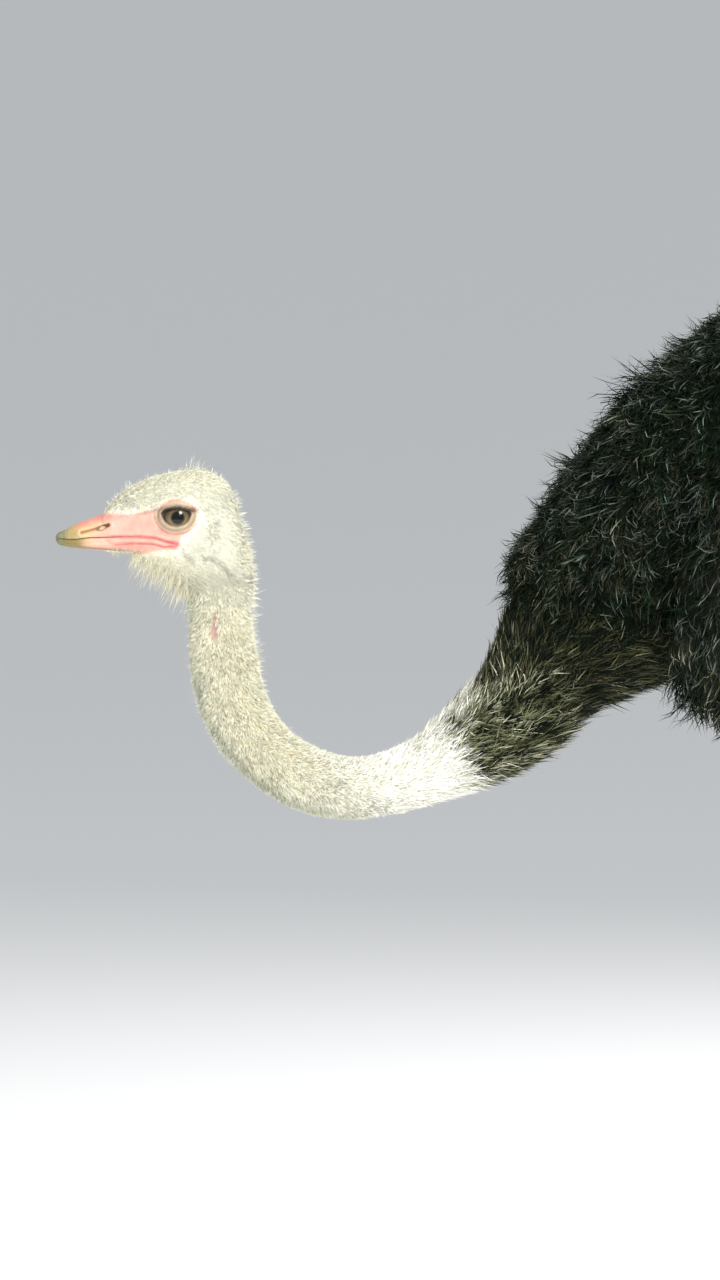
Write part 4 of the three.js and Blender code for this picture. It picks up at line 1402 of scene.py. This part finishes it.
def plumes(name, paths, faces_out, widths, colours, barbs, slot, node):
    """Soft plumes: each a quill with loose barbs on both sides that bend and hang."""
    coat = Coat()
    count, bends = paths.shape[:2]
    along = unit(np.gradient(paths, axis=1))
    half = (1.3 * (1 - np.linspace(0, 1, bends)) + 0.25)[None, :, None]
    aside = np.cross(faces_out[:, None], along) * half
    quill = np.stack([paths - aside, paths + aside], 2).reshape(count, bends * 2, 3)
    quill = np.concatenate([quill, paths[:, -1:] + along[:, -1:] * 2], 1)
    place = columns(0.01 + 0.96 * (np.arange(count) + 0.5) / count, 0.01)
    coat.add(quill, colours * 0.8, place, root_shade=0.8, tip_shade=1.0)

    n = count * barbs
    which = np.repeat(np.arange(count), barbs)
    at = np.tile((np.arange(barbs) + 0.5) / barbs, count) ** 0.85 + rng.normal(0, 0.004, n)
    at = np.clip(at, 0.03, 1)
    row = at * (bends - 1)
    low = np.minimum(row.astype(int), bends - 2)
    f = (row - low)[:, None]
    root = paths[which, low] * (1 - f) + paths[which, low + 1] * f
    ahead, out = along[which, low], faces_out[which]
    side = np.where(rng.random(n) < 0.5, -1.0, 1.0)
    beside = unit(np.cross(out, ahead)) * side[:, None]
    open_angle = np.radians(62 - 38 * at + rng.normal(0, 9, n))[:, None]
    lie = unit(np.cos(open_angle) * ahead + np.sin(open_angle) * beside)
    profile = 0.35 + 0.65 * np.sin(at ** 0.8 * math.pi * 0.72 + 0.25)
    length = widths[which] * profile * random(0.75, 1.15, n)
    blades = strands(
        root, along_surface(out, lie), lie, length, random(1.4, 2.4, n), np.radians(random(-6, 30, n)),
        np.radians(random(-30, 28, n)), -side * random(0.1, 0.9, n), 3, roll=rng.normal(0, 0.5, n),
        droop=random(0.15, 0.6, n))
    coat.add(blades, colours[which] * random(0.9, 1.08, n)[:, None],
             columns(place[which, 0], 0.02 + 0.95 * at), root_shade=0.86, tip_shade=1.04)
    coat.make(name, PLUME_MATERIAL, slot, node)


PLUME_WHITE, PLUME_CREAM, PLUME_BUFF = rgb(240, 236, 224), rgb(226, 214, 186), rgb(186, 158, 118)


def wing_plumes(side, count=46):
    layer = random(0, 1, count)
    place = (np.arange(count) + 0.5) / count
    x = 70 + 400 * place
    y = np.interp(x, [70, 200, 400, 480], [205, 214, 192, 168]) - 26 * layer
    start = columns(x, side * y, 930 + 30 * place + random(-18, 18, count))
    first = columns(0.35 + 0.5 * place, side * 0.1, -0.9 + 0.25 * place)
    first = unit(first + rng.normal(0, 0.07, (count, 3)))
    last = columns(0.85 + 0.2 * place, side * (0.18 - 0.2 * place), -0.62 + 0.3 * place)
    last = unit(last + rng.normal(0, 0.1, (count, 3)))
    length = 205 - 70 * place + random(-22, 16, count)
    paths = plume_path(start, first, last, length)
    out = unit(side * Y_AXIS + rng.normal(0, 0.25, (count, 3)))
    colours = PLUME_WHITE * random(0.93, 1.02, count)[:, None]
    plumes(f"plumes_wing_{SIDE_NAME[side]}", paths, out, random(42, 62, count), colours, 190,
           "white_plumage", f"wing_plumes_{SIDE_NAME[side]}")


def tail_plumes(count=64, bends=24):
    place = (np.arange(count) + 0.5) / count
    angle = math.pi * (0.5 + 1.34 * (place - 0.5)) + rng.normal(0, 0.06, count)
    layer = rng.random(count)
    starts = 0.02 + 0.2 * layer
    ends = 0.62 + 0.3 * rng.random(count) - 0.12 * np.abs(np.cos(angle))
    s = np.linspace(0, 1, bends)
    paths = []
    for i in range(count):
        t = starts[i] + (ends[i] - starts[i]) * s
        a = angle[i] + rng.normal(0, 0.14) * s ** 2
        paths.append(TAIL.points(t, a, -30 + 22 * s ** 0.6 - 14 * layer[i]))
    middle = TAIL.points(0.5 + 0 * angle, angle) - spline(TAIL.stations, np.full(count, 0.5))[:, :3]
    out = unit(middle + rng.normal(0, 12, (count, 3)))
    colours = layered(
        PLUME_WHITE,
        (PLUME_CREAM, 0.3 + 0.7 * rng.random(count)),
        (PLUME_BUFF, 0.55 * smoothstep(rng.random(count), 0.62, 0.95)))
    plumes("plumes_tail", np.array(paths), out, random(44, 66, count), colours, 200, "tail_plumage", "tail")


for s in SIDES:
    wing_plumes(s)
tail_plumes()


# ---------------- loose bristles that stand out from the head and neck

def bristles(name, groups):
    """Each group: where, how many, length range, direction, spread of direction, width, colour.

    Where is lowest and highest x and z, and may go on with a way the skin has to face, and how
    nearly.
    """
    coat = Coat()
    for where, count, lengths, direction, spread, width, colour in groups:
        x_low, x_high, z_low, z_high, *facing = where
        x, _, z = triangle_middle.T
        chosen = (x > x_low) & (x < x_high) & (z > z_low) & (z < z_high)
        if facing:
            chosen &= triangle_normal @ unit(np.array(facing[0], float)) > facing[1]
        roots = Roots(chosen, count)
        way = unit(np.tile(direction, (count, 1)) + rng.normal(0, spread, (count, 3)))
        lift = np.arcsin(np.clip(dot(way, roots.normal), -0.2, 0.98))[:, 0]
        lie = along_surface(way, roots.normal)
        blades = roots.grow(
            0.5, lie, 0, random(*lengths, count), width * random(0.8, 1.3, count), lift,
            lift + rng.normal(0, 0.35, count), rng.normal(0, 0.3, count), 3)
        x, _, z = roots.point.T
        place = columns(
            0.01 + 0.97 * np.clip((x + 760) / 320, 0, 1), 0.01 + 0.97 * np.clip((z - 820) / 360, 0, 1))
        coat.add(blades, np.tile(colour, (count, 1)) * random(0.9, 1.1, count)[:, None], place,
                 root_shade=0.9, tip_shade=1.1)
    coat.make(name, DOWN_MATERIAL, "down")


# A yellowish cream for the throat bristles, darkened partly as painted shade under the head.
THROAT = rgb(208, 204, 178)
bristles("bristles", [
    ((-650, -630, 1160, 1180), 40, (10, 25), [0.45, 0, 1.0], 0.3, 0.5, CHEEK_WHITE),
    ((-700, -605, 1140, 1180, (0, 0, 1), 0.3), 700, (4, 10), [0.35, 0, 0.9], 0.35, 0.4, CHEEK_WHITE),
    ((-728, -700, 1128, 1165, (-0.5, 0, 1), 0.3), 200, (4, 9), [-0.1, 0, 1.0], 0.3, 0.4, CHEEK_WHITE),
    ((-722, -704, 1128, 1165, (-0.5, 0, 1), 0.3), 16, (10, 20), [0.05, 0, 1.0], 0.16, 0.35, CHEEK_WHITE),
    ((-725, -690, 1030, 1092, (-0.4, 0, -1), 0.35), 260, (4, 10), [-0.1, 0, -1.0], 0.3, 0.3, THROAT),
    ((-700, -640, 1030, 1088, (-0.4, 0, -1), 0.3), 700, (8, 23), [-0.35, 0, -1.0], 0.26, 0.28, THROAT),
    ((-700, -640, 1030, 1088, (-0.4, 0, -1), 0.35), 330, (17, 36), [-0.3, 0, -1.0], 0.2, 0.25, THROAT),
    ((-665, -632, 1012, 1050, (-1, 0, -0.4), 0.2), 260, (8, 18), [-0.5, 0, -1.0], 0.25, 0.28, THROAT),
    ((-600, -560, 1040, 1150, (1, 0, 0.2), 0.3), 850, (6, 13), [0.9, 0, -0.3], 0.35, 0.36, CREAM),
    ((-600, -500, 860, 1040, (1, 0, 0.4), 0.3), 1300, (7, 14), [0.9, 0, -0.5], 0.35, 0.36, CREAM),
    ((-680, -560, 860, 1030, (-1, 0, -0.4), 0.3), 900, (6, 11), [-0.8, 0, -0.7], 0.35, 0.36, CREAM),
    ((-600, -560, 960, 1045, (1, 0, 0.2), 0.3), 130, (11, 21), [0.9, 0, 0.2], 0.4, 0.26, CREAM),
    ((-614, -596, 1086, 1104), 70, (3, 6), [0.8, 0, -0.4], 0.3, 0.5, CREAM * 0.8),
])


# ---------------- stage, light and camera


bpy.ops.mesh.primitive_plane_add(size=2000, location=(0, 0, 0))
floor = bpy.context.object
floor.name = "floor"
matt = bpy.data.materials.new("floor")
matt.use_nodes = True
matt_shader = matt.node_tree.nodes["Principled BSDF"]
matt_shader.inputs["Base Color"].default_value = (0.93, 0.925, 0.915, 1)
matt_shader.inputs["Roughness"].default_value = 0.9
floor.data.materials.append(matt)


def area_light(name, place, aim, size, power, colour=(1, 1, 1), gloss=True):
    data = bpy.data.lights.new(name, "AREA")
    data.shape = "DISK"
    data.size = size
    data.energy = power
    data.color = colour
    lamp = bpy.data.objects.new(name, data)
    lamp.location = place
    lamp.visible_glossy = gloss
    lamp.rotation_euler = (Vector(aim) - Vector(place)).to_track_quat("-Z", "Y").to_euler()
    bpy.context.scene.collection.objects.link(lamp)


area_light("key", (1.6, -4.2, 5.2), (-0.2, 0, 1.0), 2.4, 380, (1.0, 0.985, 0.95))
area_light("fill", (-2.4, -5.5, 1.6), (-0.2, 0, 0.9), 3.5, 128, (1.0, 0.99, 0.97), False)
area_light("bounce", (-0.7, -3.6, 0.25), (-0.4, 0, 0.95), 2.0, 26, (1.0, 0.97, 0.92), False)
area_light("catch", (0.9, -5.3, 3.5), (-0.65, 0, 1.12), 0.6, 8)
area_light("rim", (1.5, 4.5, 4.0), (0, 0, 1.0), 3.0, 160)
bpy.context.scene.view_settings.view_transform = "Standard"
world = bpy.data.worlds.new("studio")
bpy.context.scene.world = world
world.use_nodes = True
sky = world.node_tree.nodes["Background"]
sky.inputs["Color"].default_value = (0.86, 0.9, 0.94, 1)
sky.inputs["Strength"].default_value = 0.58

# One pixel of the photo is 1.07 mm at the middle plane. The part's origin is right of the photo's
# edge, at column 788.5, and the floor is below it, at row 1565.
PHOTO_WIDTH, PHOTO_HEIGHT, PIXEL = 720, 1280, 1.07
ORIGIN_COLUMN, FLOOR_ROW = 788.5, 1565
CAMERA_DISTANCE, CAMERA_TILT, SENSOR = 12.0, math.radians(4), 36
aim_x = (PHOTO_WIDTH / 2 - ORIGIN_COLUMN) * PIXEL + BACK_TO_FRAME[0]
aim = Vector((aim_x, 0, (FLOOR_ROW - PHOTO_HEIGHT / 2) * PIXEL)) * 0.001
lens = bpy.data.cameras.new("camera")
lens.sensor_width = SENSOR
lens.lens = SENSOR * CAMERA_DISTANCE / (PHOTO_HEIGHT * PIXEL * 0.001)
lens.clip_end = 200
camera = bpy.data.objects.new("camera", lens)
camera.location = aim + CAMERA_DISTANCE * Vector((0, -math.cos(CAMERA_TILT), math.sin(CAMERA_TILT)))
camera.rotation_euler = (math.pi / 2 - CAMERA_TILT, 0, 0)
bpy.context.scene.collection.objects.link(camera)
bpy.context.scene.camera = camera
